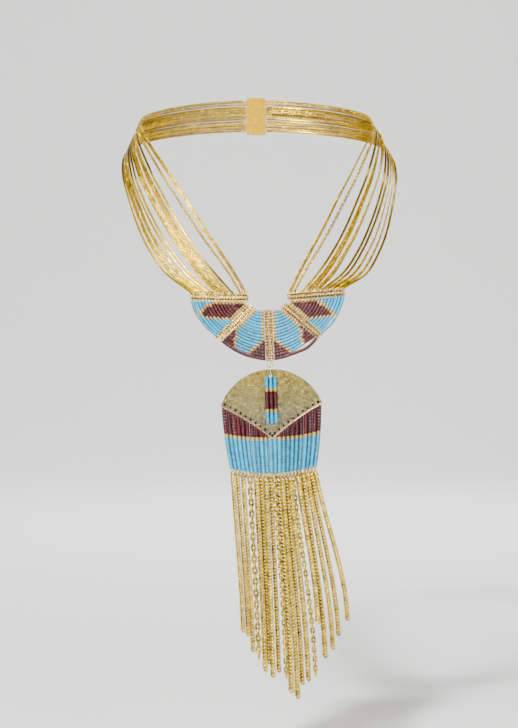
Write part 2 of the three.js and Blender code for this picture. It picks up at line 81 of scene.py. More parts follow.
def smooth_line(points: np.ndarray, samples: int) -> np.ndarray:
    """Centripetal Catmull-Rom line through the points.

    Each span is a cubic whose end slopes come from the neighbours, weighted by the square
    roots of the distances between points. The ends are continued straight on.

    Args:
        points: (n, 3) points to pass through.
        samples: Points on each span.

    Returns:
        (m, 3) points close together on the line.
    """
    p = np.vstack([2 * points[0] - points[1], points, 2 * points[-1] - points[-2]])
    a, b, c, d = p[:-3], p[1:-2], p[2:-1], p[3:]
    t0, t1, t2 = (np.sqrt(np.linalg.norm(q, axis=1))[:, None] for q in (b - a, c - b, d - c))
    m1 = ((b - a) / t0 - (c - a) / (t0 + t1) + (c - b) / t1) * t1
    m2 = ((c - b) / t1 - (d - b) / (t1 + t2) + (d - c) / t2) * t1
    t = np.linspace(0, 1, samples, endpoint=False)[None, :, None]
    b, c, m1, m2 = (q[:, None, :] for q in (b, c, m1, m2))
    spans = b + m1 * t + (3 * c - 3 * b - 2 * m1 - m2) * t**2 + (2 * b - 2 * c + m1 + m2) * t**3
    return np.vstack([spans.reshape(-1, 3), points[-1:]])


@dataclass
class Route:
    """A line in space with a direction that its front faces at every point.

    Attributes:
        points: (n, 3) points close together.
        facing: (n, 3) or (3,) directions, turned square to the line.
        travelled: (n,) distance along the line up to each point.
    """

    points: np.ndarray
    facing: np.ndarray
    travelled: np.ndarray = field(init=False)

    def __post_init__(self) -> None:
        """Measures the distance along the line up to each point."""
        steps = np.linalg.norm(np.diff(self.points, axis=0), axis=1)
        self.travelled = np.concatenate([[0.0], np.cumsum(steps)])
        self.facing = np.broadcast_to(self.facing, self.points.shape)

    @property
    def length(self) -> float:
        """Length of the line."""
        return float(self.travelled[-1])

    def _along(self, values: np.ndarray, distances: np.ndarray) -> np.ndarray:
        """Values given at the points, read off at distances along the line."""
        columns = [np.interp(distances, self.travelled, values[:, k]) for k in range(3)]
        return np.stack(columns, axis=1)

    def stations(self, distances: np.ndarray) -> tuple[np.ndarray, np.ndarray]:
        """Places and axes at distances along the line.

        The first axis runs along the line, the third is the facing direction less its part
        along the line, and the second is the third crossed with the first.

        Args:
            distances: (n,) distances from the line's start.

        Returns:
            (n, 3) places and (n, 3, 3) axes, one axis a row.
        """
        along = unit(self._along(np.gradient(self.points, axis=0), distances))
        facing = self._along(self.facing, distances)
        out = unit(facing - along * np.sum(facing * along, axis=1, keepdims=True))
        return self._along(self.points, distances), np.stack([along, np.cross(out, along), out], 1)

    def places(self, pitch: float) -> np.ndarray:
        """Distances of equal steps near a pitch, the first and last half a step from an end."""
        count = max(int(round(self.length / pitch)), 1)
        return (np.arange(count) + 0.5) * self.length / count


@dataclass
class Surface:
    """Quads of one or more closed skins.

    Attributes:
        points: (v, 3) points in millimetres.
        quads: (f, 4) corner numbers, the front on the outside.
        tones: (v,) lightness of each bead or link, 0 to 1, with its painted light and shade.
        finishes: (f,) which of a piece's finishes a face has.
    """

    points: np.ndarray
    quads: np.ndarray
    tones: np.ndarray
    finishes: np.ndarray

    @classmethod
    def plain(cls, points: np.ndarray, quads: np.ndarray, finish: int = 0) -> "Surface":
        """A surface of one finish and middle tone, turned so that its faces point out.

        The sum of the triangles' triple products is six times the volume. If it is negative,
        every face is turned round.

        Args:
            points: (v, 3) points in millimetres.
            quads: (f, 4) corner numbers.
            finish: Finish number of all the faces.

        Returns:
            The surface.
        """
        corners = points[quads]
        triangles = np.concatenate([corners[:, [0, 1, 2]], corners[:, [0, 2, 3]]])
        volume = np.einsum("ij,ij->", triangles[:, 0], np.cross(triangles[:, 1], triangles[:, 2]))
        turned = quads if volume > 0 else quads[:, ::-1]
        return cls(points, turned, np.full(len(points), 0.5), np.full(len(quads), finish))

    @classmethod
    def joined(cls, parts: Sequence["Surface"]) -> "Surface":
        """Several surfaces as one.

        Args:
            parts: The surfaces.

        Returns:
            One surface with all their faces.
        """
        starts = np.cumsum([0] + [len(part.points) for part in parts[:-1]])
        return cls(
            np.concatenate([part.points for part in parts]),
            np.concatenate([part.quads + start for part, start in zip(parts, starts)]),
            np.concatenate([part.tones for part in parts]),
            np.concatenate([part.finishes for part in parts]),
        )

    def placed(self, placement: "Placement") -> "Surface":
        """The surface carried into another frame."""
        return Surface(placement.to_world(self.points), self.quads, self.tones, self.finishes)


@dataclass(frozen=True)
class Placement:
    """Where a flat sub-assembly hangs.

    Attributes:
        turn: (3, 3) matrix of its turn.
        origin: (3,) place of its own origin, in millimetres.
    """

    turn: np.ndarray
    origin: np.ndarray

    @classmethod
    def turned(cls, about_x: float, about_y: float, origin: Sequence[float]) -> "Placement":
        """A placement from two turns.

        Args:
            about_x: The second turn, about X, in degrees.
            about_y: The first turn, about Y, in degrees.
            origin: Place of the origin, in millimetres.

        Returns:
            The placement.
        """
        second = Matrix.Rotation(np.radians(about_x), 3, "X")
        first = Matrix.Rotation(np.radians(about_y), 3, "Y")
        return cls(np.array(second @ first), np.array(origin, float))

    def to_world(self, points: np.ndarray) -> np.ndarray:
        """Points carried from the sub-assembly's frame into the necklace's."""
        return points @ self.turn.T + self.origin


def upright(line: np.ndarray) -> np.ndarray:
    """(n, 2) points of a flat sub-assembly, x and z, as (n, 3) points with y at zero."""
    return np.stack([line[:, 0], np.zeros(len(line)), line[:, 1]], axis=1)


def wall_quads(rows: int, sides: int, closed: bool) -> np.ndarray:
    """Corner numbers of the faces between rings of points.

    Face (i, j) joins points j and j + 1 of ring i with those of ring i + 1, and the last point
    of a ring is joined to its first.

    Args:
        rows: Rings of points.
        sides: Points in a ring.
        closed: Whether the last ring joins the first.

    Returns:
        (f, 4) corner numbers.
    """
    count = rows if closed else rows - 1
    row, side = np.meshgrid(np.arange(count), np.arange(sides), indexing="ij")
    after, beside = (row + 1) % rows, (side + 1) % sides
    corners = [row * sides + side, after * sides + side, after * sides + beside]
    return np.stack([*corners, row * sides + beside], axis=-1).reshape(-1, 4)


def swept_tube(route: Route, distances: np.ndarray, radii: np.ndarray) -> Surface:
    """A round tube of eight sides along a line.

    Ring i is a circle of radius i about the line, in the plane of the two cross axes. Each end
    is closed by three faces.

    Args:
        route: The line.
        distances: Where each ring lies.
        radii: Radius of each ring.

    Returns:
        The closed tube.
    """
    angles = (np.arange(TUBE_SIDES) + 0.5) / TUBE_SIDES * 2 * np.pi
    centres, axes = route.stations(distances)
    circle = np.cos(angles)[None, :, None] * axes[:, None, 1]
    circle = circle + np.sin(angles)[None, :, None] * axes[:, None, 2]
    points = centres[:, None, :] + radii[:, None, None] * circle
    wall = wall_quads(len(distances), TUBE_SIDES, False)
    start = np.array([[0, 1, 2, 3], [0, 3, 4, 7], [4, 5, 6, 7]])
    end = start[:, ::-1] + (len(distances) - 1) * TUBE_SIDES
    return Surface.plain(points.reshape(-1, 3), np.concatenate([wall, start, end]))


def oval_ring(
    half_length: float, half_width: float, wire: float, around: int = 10, section: int = 5
) -> Surface:
    """A link of round wire: a circle drawn out lengthwise, with a wire circle carried round it.

    At angle u round the link and v round the wire, a point lies the middle radius plus the
    wire's radius times the cosine of v away from the centre of the nearer end, and the wire's
    radius times the sine of v off the link's plane.

    The wire is painted lighter on its outer side and darker on its inner side: painted light and
    painted shade.

    Args:
        half_length: Half the link's outer length, along its first axis.
        half_width: Half its outer width, along its second axis.
        wire: Radius of the wire.
        around: Steps round the link.
        section: Sides of the wire.

    Returns:
        The closed link about its own centre.
    """
    u = ((np.arange(around) + 0.5) / around * 2 * np.pi)[:, None]
    v = ((np.arange(section) + 0.5) / section * 2 * np.pi)[None, :]
    straight = (half_length - half_width) * np.sign(np.cos(u))
    reach = half_width - wire + wire * np.cos(v)
    flat = np.ones_like(v)
    points = [straight * flat + reach * np.cos(u), reach * np.sin(u)]
    points.append(wire * np.sin(v) * np.ones_like(u))
    grid = np.stack(points, axis=-1)
    link = Surface.plain(grid.reshape(-1, 3), wall_quads(around, section, True))
    # Painted light on the wire's outer side and painted shade on its inner side.
    link.tones = (0.5 + INNER_SHADE * np.cos(v) * np.ones_like(u)).ravel()
    return link


def turned_bead(
    diameter: float, length: float, hole: float, fullness: float, shoulder: float
) -> Surface:
    """A bead with its hole along the first axis: a six-point outline turned in eight steps.

    It is painted darker on the two sides that lie against the next row: painted shade between the
    rows.

    Args:
        diameter: Outer diameter.
        length: Length along the hole.
        hole: Diameter of the hole.
        fullness: Share of the length over which the bead has its full diameter.
        shoulder: Diameter at its ends, as a share of the full one.

    Returns:
        The closed bead about its own centre.
    """
    r, x, h = diameter / 2, length / 2, hole / 2
    rim = 0.86 * x
    along = np.array([-rim, -x, -fullness * x, fullness * x, x, rim])
    out = np.array([h, shoulder * r, r, r, shoulder * r, h])
    angle = (np.arange(8) / 8 * 2 * np.pi)[:, None]
    points = [along[None, :] + 0 * angle, out * np.cos(angle), out * np.sin(angle)]
    bead = Surface.plain(np.stack(points, axis=-1).reshape(-1, 3), wall_quads(8, 6, True))
    # Painted shade on the bead's sides, where the rows meet.
    bead.tones = 0.5 - SIDE_SHADE * np.abs(bead.points[:, 1]) / r
    return bead


def turns(about: int, degrees: np.ndarray) -> np.ndarray:
    """Turns about one axis as (n, 3, 3) matrices.

    Args:
        about: Number of the axis, 0 to 2.
        degrees: (n,) angles.

    Returns:
        One matrix an angle.
    """
    angle = np.radians(degrees)
    first, second = (about + 1) % 3, (about + 2) % 3
    matrices = np.tile(np.eye(3), (len(angle), 1, 1))
    matrices[:, first, first] = matrices[:, second, second] = np.cos(angle)
    matrices[:, first, second] = -np.sin(angle)
    matrices[:, second, first] = np.sin(angle)
    return matrices


def repeated(
    shape: Surface,
    centres: np.ndarray,
    axes: np.ndarray,
    tones: np.ndarray,
    finishes: np.ndarray | int = 0,
) -> Surface:
    """Copies of a small shape, each at its own place and on its own axes.

    A copy's point is its centre plus the shape's point read along the copy's axes.

    Args:
        shape: The bead or link.
        centres: (n, 3) places.
        axes: (n, 3, 3) axes, one axis a row.
        tones: (n,) tone of each copy, which the shape's own painted light and shade is added to.
        finishes: Finish of each copy, or one for all.

    Returns:
        All the copies as one surface.
    """
    count, size = len(centres), len(shape.points)
    points = centres[:, None, :] + np.einsum("vi,nik->nvk", shape.points, axes)
    quads = shape.quads[None] + (np.arange(count) * size)[:, None, None]
    kinds = np.broadcast_to(finishes, count)
    return Surface(
        points.reshape(-1, 3),
        quads.reshape(-1, 4),
        (tones[:, None] + shape.tones - 0.5).ravel(),
        np.repeat(kinds, len(shape.quads)),
    )


# Finishes


def linear(hex_colour: str) -> tuple[float, float, float, float]:
    """An sRGB hex colour as linear values.

    Args:
        hex_colour: Six hex digits.

    Returns:
        Red, green, blue and an alpha of one.
    """
    values = np.array([int(hex_colour[k : k + 2], 16) for k in (0, 2, 4)]) / 255
    low, high = values / 12.92, ((values + 0.055) / 1.055) ** 2.4
    red, green, blue = np.where(values <= 0.04045, low, high)
    return float(red), float(green), float(blue), 1.0


def set_inputs(
    tree: bpy.types.NodeTree, node: bpy.types.Node, inputs: dict[str | int, object]
) -> None:
    """Gives a node's inputs their values and links.

    Args:
        tree: The material's nodes.
        node: The node.
        inputs: Values or output sockets for its inputs, by name or number.
    """
    for name, value in inputs.items():
        if isinstance(value, bpy.types.NodeSocket):
            tree.links.new(value, node.inputs[name])
        else:
            node.inputs[name].default_value = value


def add_node(
    tree: bpy.types.NodeTree,
    kind: str,
    settings: dict[str, object] | None = None,
    inputs: dict[str | int, object] | None = None,
) -> bpy.types.Node:
    """Adds a node with its settings, values and links.

    Args:
        tree: The material's nodes.
        kind: Blender's name for the node.
        settings: Properties of the node itself.
        inputs: Values or output sockets for its inputs, by name or number.

    Returns:
        The new node.
    """
    node = tree.nodes.new(kind)
    for name, value in (settings or {}).items():
        setattr(node, name, value)
    set_inputs(tree, node, inputs or {})
    return node


def new_material(name: str) -> tuple[bpy.types.Material, bpy.types.NodeTree, bpy.types.Node]:
    """A material with only its output and a Principled shader.

    Args:
        name: What the real material is.

    Returns:
        The material, its nodes and its shader.
    """
    material = bpy.data.materials.new(name)
    material.use_nodes = True
    tree = material.node_tree
    tree.nodes.clear()
    shader = add_node(tree, "ShaderNodeBsdfPrincipled")
    add_node(tree, "ShaderNodeOutputMaterial", inputs={"Surface": shader.outputs[0]})
    return material, tree, shader


@dataclass(frozen=True)
class PlatedMetal:
    """Brass plated with gold and polished, whose colour and gloss vary a little from link to link.

    Attributes:
        name: Name of the plating.
        bright: Colour of the fresh plating, and of the painted light on the wire's outer side, sRGB
            hex.
        deep: Colour of the tarnish patches and darker links, and of the painted shade on the wire's
            inner side and in a snake chain's dips.
        gloss: Lowest and highest roughness.
        blotch_mm: Size of the tarnish patches.
        grain_mm: Size of the polishing marks.
        relief_mm: Height of the polishing marks.
    """

    name: str
    bright: str
    deep: str
    gloss: tuple[float, float]
    blotch_mm: float = 2.4
    grain_mm: float = 0.35
    relief_mm: float = 0.012

    def material(self) -> bpy.types.Material:
        """Mixes the two colours by link tone, with its painted light and shade, and by patch, and
        roughens the surface by its marks.

        Returns:
            The material.
        """
        material, tree, shader = new_material(self.name)
        where = add_node(tree, "ShaderNodeTexCoord").outputs["Object"]
        tone = add_node(tree, "ShaderNodeAttribute", {"attribute_name": TONE}).outputs["Fac"]
        patches = add_node(
            tree,
            "ShaderNodeTexNoise",
            inputs={"Vector": where, "Scale": 1 / (self.blotch_mm * MM), "Detail": 4.0},
        ).outputs["Fac"]
        both = add_node(
            tree,
            "ShaderNodeMath",
            {"operation": "MULTIPLY_ADD"},
            {0: patches, 1: 1.3, 2: -0.4},
        ).outputs[0]
        # The tone brings the links' painted light and shade into the colour.
        share = add_node(
            tree,
            "ShaderNodeMath",
            {"operation": "MULTIPLY_ADD", "use_clamp": True},
            {0: tone, 1: 0.5, 2: both},
        ).outputs[0]
        colour = add_node(
            tree,
            "ShaderNodeMix",
            {"data_type": "RGBA"},
            {0: share, 6: linear(self.deep), 7: linear(self.bright)},
        ).outputs[2]
        marks = add_node(
            tree,
            "ShaderNodeTexNoise",
            inputs={"Vector": where, "Scale": 1 / (self.grain_mm * MM), "Detail": 3.0},
        ).outputs["Fac"]
        gloss = add_node(
            tree,
            "ShaderNodeMapRange",
            inputs={"Value": marks, "To Min": self.gloss[0], "To Max": self.gloss[1]},
        ).outputs[0]
        bump = add_node(
            tree,
            "ShaderNodeBump",
            inputs={"Height": marks, "Distance": self.relief_mm * MM, "Strength": 0.5},
        ).outputs[0]
        look = {"Base Color": colour, "Roughness": gloss, "Normal": bump, "Metallic": 1.0}
        set_inputs(tree, shader, look)
        return material


@dataclass(frozen=True)
class BeadGlass:
    """Pressed and fire-polished glass beads, each a little lighter or darker than the next.

    Attributes:
        name: Name of the glass.
        light: Colour of the lightest beads, sRGB hex.
        dark: Colour of the darkest beads, and of the painted shade on each bead's sides.
        roughness: How dull the polish is.
        lustre: How metallic the fired-on lustre is.
        coat: Strength of the clear gloss over it.
        mottle_mm: Size of the mottle in the glass.
    """

    name: str
    light: str
    dark: str
    roughness: float
    lustre: float
    coat: float
    mottle_mm: float = 0.6

    def material(self) -> bpy.types.Material:
        """Mixes the two colours by bead tone and a fine mottle, under a clear gloss.

        Returns:
            The material.
        """
        material, tree, shader = new_material(self.name)
        where = add_node(tree, "ShaderNodeTexCoord").outputs["Object"]
        tone = add_node(tree, "ShaderNodeAttribute", {"attribute_name": TONE}).outputs["Fac"]
        mottle = add_node(
            tree,
            "ShaderNodeTexNoise",
            inputs={"Vector": where, "Scale": 1 / (self.mottle_mm * MM), "Detail": 2.0},
        ).outputs["Fac"]
        share = add_node(
            tree,
            "ShaderNodeMath",
            {"operation": "MULTIPLY_ADD", "use_clamp": True},
            {0: mottle, 1: 0.4, 2: tone},
        ).outputs[0]
        eased = add_node(
            tree,
            "ShaderNodeMath",
            {"operation": "SUBTRACT", "use_clamp": True},
            {0: share, 1: 0.2},
        ).outputs[0]
        colour = add_node(
            tree,
            "ShaderNodeMix",
            {"data_type": "RGBA"},
            {0: eased, 6: linear(self.dark), 7: linear(self.light)},
        ).outputs[2]
        bump = add_node(
            tree,
            "ShaderNodeBump",
            inputs={"Height": mottle, "Distance": 0.01 * MM, "Strength": 0.3},
        ).outputs[0]
        look = {"Base Color": colour, "Normal": bump, "Roughness": self.roughness}
        set_inputs(tree, shader, look | {"Metallic": self.lustre, "IOR": 1.52})
        set_inputs(tree, shader, {"Coat Weight": self.coat, "Coat Roughness": 0.08})
        return material


@dataclass(frozen=True)
class WaxedThreadAndShade:
    """Twisted polyester thread, waxed: nearly black, with a dull shine on its strands. Its darkness
    also stands as painted shade in the holes and gaps where it is put.

    Attributes:
        name: Name of the thread.
        colour: Its colour, sRGB hex.
        worn: Colour of the fuzz on its strands.
        twist_mm: Sets how close the strands lie. The pattern's scale is a twentieth of one
            over it.
    """

    name: str
    colour: str
    worn: str
    twist_mm: float = 0.3

    def material(self) -> bpy.types.Material:
        """Bands the thread by its twist and lightens the strands.

        Returns:
            The material.
        """
        material, tree, shader = new_material(self.name)
        where = add_node(tree, "ShaderNodeTexCoord").outputs["Object"]
        strands = add_node(
            tree,
            "ShaderNodeTexWave",
            {"bands_direction": "DIAGONAL"},
            {"Vector": where, "Scale": 1 / (self.twist_mm * MM) / 20, "Distortion": 1.5},
        ).outputs["Fac"]
        colour = add_node(
            tree,
            "ShaderNodeMix",
            {"data_type": "RGBA"},
            {0: strands, 6: linear(self.colour), 7: linear(self.worn)},
        ).outputs[2]
        bump = add_node(
            tree,
            "ShaderNodeBump",
            inputs={"Height": strands, "Distance": 0.03 * MM, "Strength": 0.6},
        ).outputs[0]
        look = {"Base Color": colour, "Normal": bump, "Roughness": 0.8, "Specular IOR Level": 0.2}
        set_inputs(tree, shader, look)
        return material


@dataclass(frozen=True)
class HammeredBrass:
    """Pale brass sheet, planished with a small hammer and rubbed to a satin.

    Attributes:
        name: Name of the sheet.
        pale: Colour of the rubbed high spots, sRGB hex.
        warm: Yellower colour towards the top.
        dull: Grey-green tarnish in the dents.
        warm_from: Heights in metres between which the colour turns from pale to warm. The sheet
            hangs between 153 and 188 mm below the nape.
        patch_mm: Size of the tarnish patches.
        streak_mm: Size of the marks of rubbing.
        streak_depth_mm: Their depth in the shading.
    """

    name: str
    pale: str
    warm: str
    dull: str
    warm_from: tuple[float, float] = (-0.176, -0.154)
    patch_mm: float = 1.9
    streak_mm: float = 0.75
    streak_depth_mm: float = 0.34

    def material(self) -> bpy.types.Material:
        """Warms the sheet towards its top, dulls it in patches and scratches it finely.

        Returns:
            The material.
        """
        material, tree, shader = new_material(self.name)
        where = add_node(tree, "ShaderNodeTexCoord").outputs["Object"]
        height = add_node(tree, "ShaderNodeSeparateXYZ", inputs={0: where}).outputs["Z"]
        low, high = self.warm_from
        upward = add_node(
            tree,
            "ShaderNodeMapRange",
            inputs={"Value": height, "From Min": low, "From Max": high},
        ).outputs[0]
        base = add_node(
            tree,
            "ShaderNodeMix",
            {"data_type": "RGBA"},
            {0: upward, 6: linear(self.pale), 7: linear(self.warm)},
        ).outputs[2]
        patches = add_node(
            tree,
            "ShaderNodeTexNoise",
            inputs={
                "Vector": where,
                "Scale": 1 / (self.patch_mm * MM),
                "Detail": 5.0,
                "Roughness": 0.65,
            },
        ).outputs["Fac"]
        share = add_node(
            tree,
            "ShaderNodeMapRange",
            inputs={"Value": patches, "From Min": 0.38, "From Max": 0.72, "To Max": 0.7},
        ).outputs[0]
        colour = add_node(
            tree,
            "ShaderNodeMix",
            {"data_type": "RGBA"},
            {0: share, 6: base, 7: linear(self.dull)},
        ).outputs[2]
        drawn = add_node(
            tree, "ShaderNodeMapping", inputs={"Vector": where, "Scale": (0.4, 1.0, 1.0)}
        ).outputs[0]
        dents = add_node(
            tree,
            "ShaderNodeTexNoise",
            inputs={
                "Vector": drawn,
                "Scale": 1 / (self.streak_mm * MM),
                "Detail": 4.0,
                "Distortion": 1.4,
            },
        ).outputs["Fac"]
        bump = add_node(
            tree,
            "ShaderNodeBump",
            inputs={"Height": dents, "Distance": self.streak_depth_mm * MM, "Strength": 1.0},
        ).outputs[0]
        gloss = add_node(
            tree,
            "ShaderNodeMapRange",
            inputs={"Value": patches, "To Min": 0.14, "To Max": 0.36},
        ).outputs[0]
        look = {"Base Color": colour, "Roughness": gloss, "Normal": bump, "Metallic": 1.0}
        set_inputs(tree, shader, look)
        return material


class Finish(Enum):
    """The necklace's finishes."""

    YELLOW_GOLD = PlatedMetal("yellow_gold_plating", "FFD20C", "4A3600", (0.12, 0.28))
    PALE_GOLD = PlatedMetal("pale_gold_plating", "FFDA3A", "4E3A00", (0.12, 0.3))
    ROSE_GOLD = PlatedMetal("rose_gold_plating", "FFCE58", "38240A", (0.14, 0.3))
    CLASP = PlatedMetal("polished_clasp_plating", "E2B41C", "AE8408", (0.38, 0.5))
    WIRE = PlatedMetal("bright_jump_ring_wire", "F2E4BE", "C2AE7C", (0.12, 0.25))
    # The lower rim's bright pinkish colour is a painted highlight on the edge.
    RIM_HIGHLIGHT = PlatedMetal("rim_painted_highlight", "EBBC9A", "B8885E", (0.2, 0.35))
    SHEET = HammeredBrass("hammered_brass_sheet", "877F5C", "9C8840", "262214")
    TURQUOISE = BeadGlass("opaque_turquoise_glass", "12C6F6", "0A5A72", 0.3, 0.0, 0.25)
    MAROON = BeadGlass("lustred_maroon_glass", "6C0818", "0C0002", 0.3, 0.35, 0.2)
    CREAM = BeadGlass("gold_lined_cream_glass", "FACC64", "6E480E", 0.3, 0.35, 0.25)
    # Dark thread, whose darkness also paints the shade in holes and gaps.
    THREAD_AND_SHADE = WaxedThreadAndShade("waxed_thread_and_painted_shade", "070504", "1E1612")


_made: dict[Finish, bpy.types.Material] = {}


def material_of(finish: Finish) -> bpy.types.Material:
    """The one material of a finish, made when it is first asked for.

    Args:
        finish: The finish.

    Returns:
        Its material.
    """
    if finish not in _made:
        _made[finish] = finish.value.material()
    return _made[finish]


# Pieces


class Body(Enum):
    """The bodies that pieces ride on."""

    LOOP = "root"
    LINK = "link"
    PENDANT = "pendant"


class Slot(Enum):
    """The record's material slots."""

    GOLD_CHAIN = "gold_chain"
    PALE_GOLD_LINKS = "pale_gold_links"
    FRINGE_CHAIN = "fringe_chain"
    RING_WIRE = "ring_wire"
    HAMMERED_BRASS = "hammered_brass"
    TURQUOISE_BEADS = "turquoise_beads"
    MAROON_BEADS = "maroon_beads"


def make_piece(
    name: str,
    surface: Surface,
    finishes: Sequence[Finish],
    body: Body,
    node: str,
) -> bpy.types.Object:
    """Puts a surface into a mesh, gives it its finishes and its body, and hides the solid that it
    stands for.

    Args:
        name: Name of the piece.
        surface: Its faces, in millimetres.
        finishes: The finishes that the faces' numbers stand for.
        body: The body it rides on.
        node: The solid that it stands for.

    Returns:
        The finished object.
    """
    mesh = bpy.data.meshes.new(name)
    quads = surface.quads.astype(np.int32)
    mesh.vertices.add(len(surface.points))
    mesh.vertices.foreach_set("co", (surface.points * MM).astype(np.float32).ravel())
    mesh.loops.add(quads.size)
    mesh.loops.foreach_set("vertex_index", quads.ravel())
    mesh.polygons.add(len(quads))
    mesh.polygons.foreach_set("loop_start", np.arange(0, quads.size, 4, dtype=np.int32))
    mesh.polygons.foreach_set("material_index", surface.finishes.astype(np.int32))
    mesh.polygons.foreach_set("use_smooth", np.ones(len(quads), bool))
    mesh.update(calc_edges=True)
    tones = mesh.attributes.new(TONE, "FLOAT", "POINT")
    tones.data.foreach_set("value", surface.tones.astype(np.float32))
    for finish in finishes:
        mesh.materials.append(material_of(finish))
    piece = bpy.data.objects.new(name, mesh)
    bpy.context.scene.collection.objects.link(piece)
    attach(piece, body.value)
    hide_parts(node)
    log.info("%s: %d faces", piece.name, len(piece.data.polygons))
    return piece


# Chains


@dataclass(frozen=True)
class LinkPattern:
    """How a chain's links follow each other. Lengths are shares of the chain's width.

    Attributes:
        half_length: Half a link's length.
        half_width: Half a link's width.
        wire: Radius of its wire.
        pitch: Step from link to link.
        roll: Turn of the first link about the chain, in degrees.
        roll_step: Further turn from link to link.
        yaw: Turn of each link in the plane of the chain, which makes the rows slant.
        columns: Rows of links side by side. Neighbouring columns slant against each other.
        column_step: Distance between columns.
    """

    half_length: float
    half_width: float
    wire: float
    pitch: float
    roll: float = 0.0
    roll_step: float = 0.0
    yaw: float = 0.0
    columns: int = 1
    column_step: float = 0.0


class ChainKind(Enum):
    """The chains' kinds. A snake chain is a tube of fine rings."""

    CURB = LinkPattern(0.74, 0.54, 0.205, 0.72, roll=30, yaw=28)
    CABLE = LinkPattern(0.74, 0.54, 0.2, 0.88, roll=45, roll_step=90)
    WIDE_CURB = LinkPattern(0.66, 0.54, 0.175, 0.62, roll=36, yaw=38)
    LONG = LinkPattern(0.84, 0.54, 0.2, 0.96, roll=12, roll_step=90)
    MESH = LinkPattern(0.36, 0.25, 0.115, 0.46, roll=24, yaw=30, columns=3, column_step=0.33)
    BRAID = LinkPattern(0.66, 0.46, 0.15, 0.6, roll=28, yaw=38)
    SNAKE = None


# Length of a snake chain's ring, its radius between two rings as a share of the full one, and
# the tones of a ring and of the dip between two: painted light on the ring, painted shade in the
# dip
SNAKE_RING_MM = 0.75
SNAKE_WAIST = 0.8
SNAKE_PAINTED_LIGHT_AND_SHADE = (0.85, 0.0)

# How far the middle line leans to the right for each millimetre below a depth, and that depth
MIDDLE_LEAN = 0.061
LEAN_FROM = 13.5


def chain_surface(route: Route, width: float, kind: ChainKind, seed: int) -> Surface:
    """Links, or a snake chain's rings, along a line.

    Link i sits i pitches along the line. It is turned about its own normal by the yaw, about
    the line by the roll, and then read along the line's axes. A snake chain is a tube whose
    radius goes up and down once a ring.

    Args:
        route: The chain's line.
        width: Outer width.
        kind: Kind of chain.
        seed: Start of the links' tones.

    Returns:
        The whole chain.
    """
    pattern = kind.value
    if pattern is None:
        rings = max(int(route.length / SNAKE_RING_MM), 2)
        distances = np.linspace(0, route.length, 2 * rings + 1)
        full = np.arange(2 * rings + 1) % 2
        snake = swept_tube(route, distances, np.where(full, 1.0, SNAKE_WAIST) * width / 2)
        # Painted light on each ring and painted shade in the dip between two.
        snake.tones = np.repeat(np.where(full, *SNAKE_PAINTED_LIGHT_AND_SHADE), TUBE_SIDES)
        return snake
    rng = np.random.default_rng(seed)
    lengths = (pattern.half_length, pattern.half_width, pattern.wire)
    link = oval_ring(*(length * width for length in lengths))
    distances = route.places(pattern.pitch * width)
    centres, axes = route.stations(distances)
    count = len(distances)
    rolls = turns(0, pattern.roll + pattern.roll_step * np.arange(count))
    parts = []
    for column in range(pattern.columns):
        slant = pattern.yaw if column % 2 == 0 else -pattern.yaw
        turned = rolls @ turns(2, np.full(count, slant))
        aside = (column - (pattern.columns - 1) / 2) * pattern.column_step * width
        tones = rng.uniform(0.15, 0.85, count)
        local_axes = np.einsum("nji,njk->nik", turned, axes)
        parts.append(repeated(link, centres + aside * axes[:, 1], local_axes, tones))
    return Surface.joined(parts)


def middle_at(z: np.ndarray | float) -> np.ndarray | float:
    """How far the necklace's middle line has leaned to the side at a height."""
    return MIDDLE_LEAN * np.maximum(0.0, -z - LEAN_FROM)


@dataclass(frozen=True)
class NeckChain:
    """One chain of a side.

    Attributes:
        width: Outer width.
        bar: Where it meets the end bar, out from the fan's centre.
        spread: How far out it lies at each drop of the route.
        kind: Kind of chain.
    """

    width: float
    bar: float
    spread: tuple[float, ...]
    kind: ChainKind


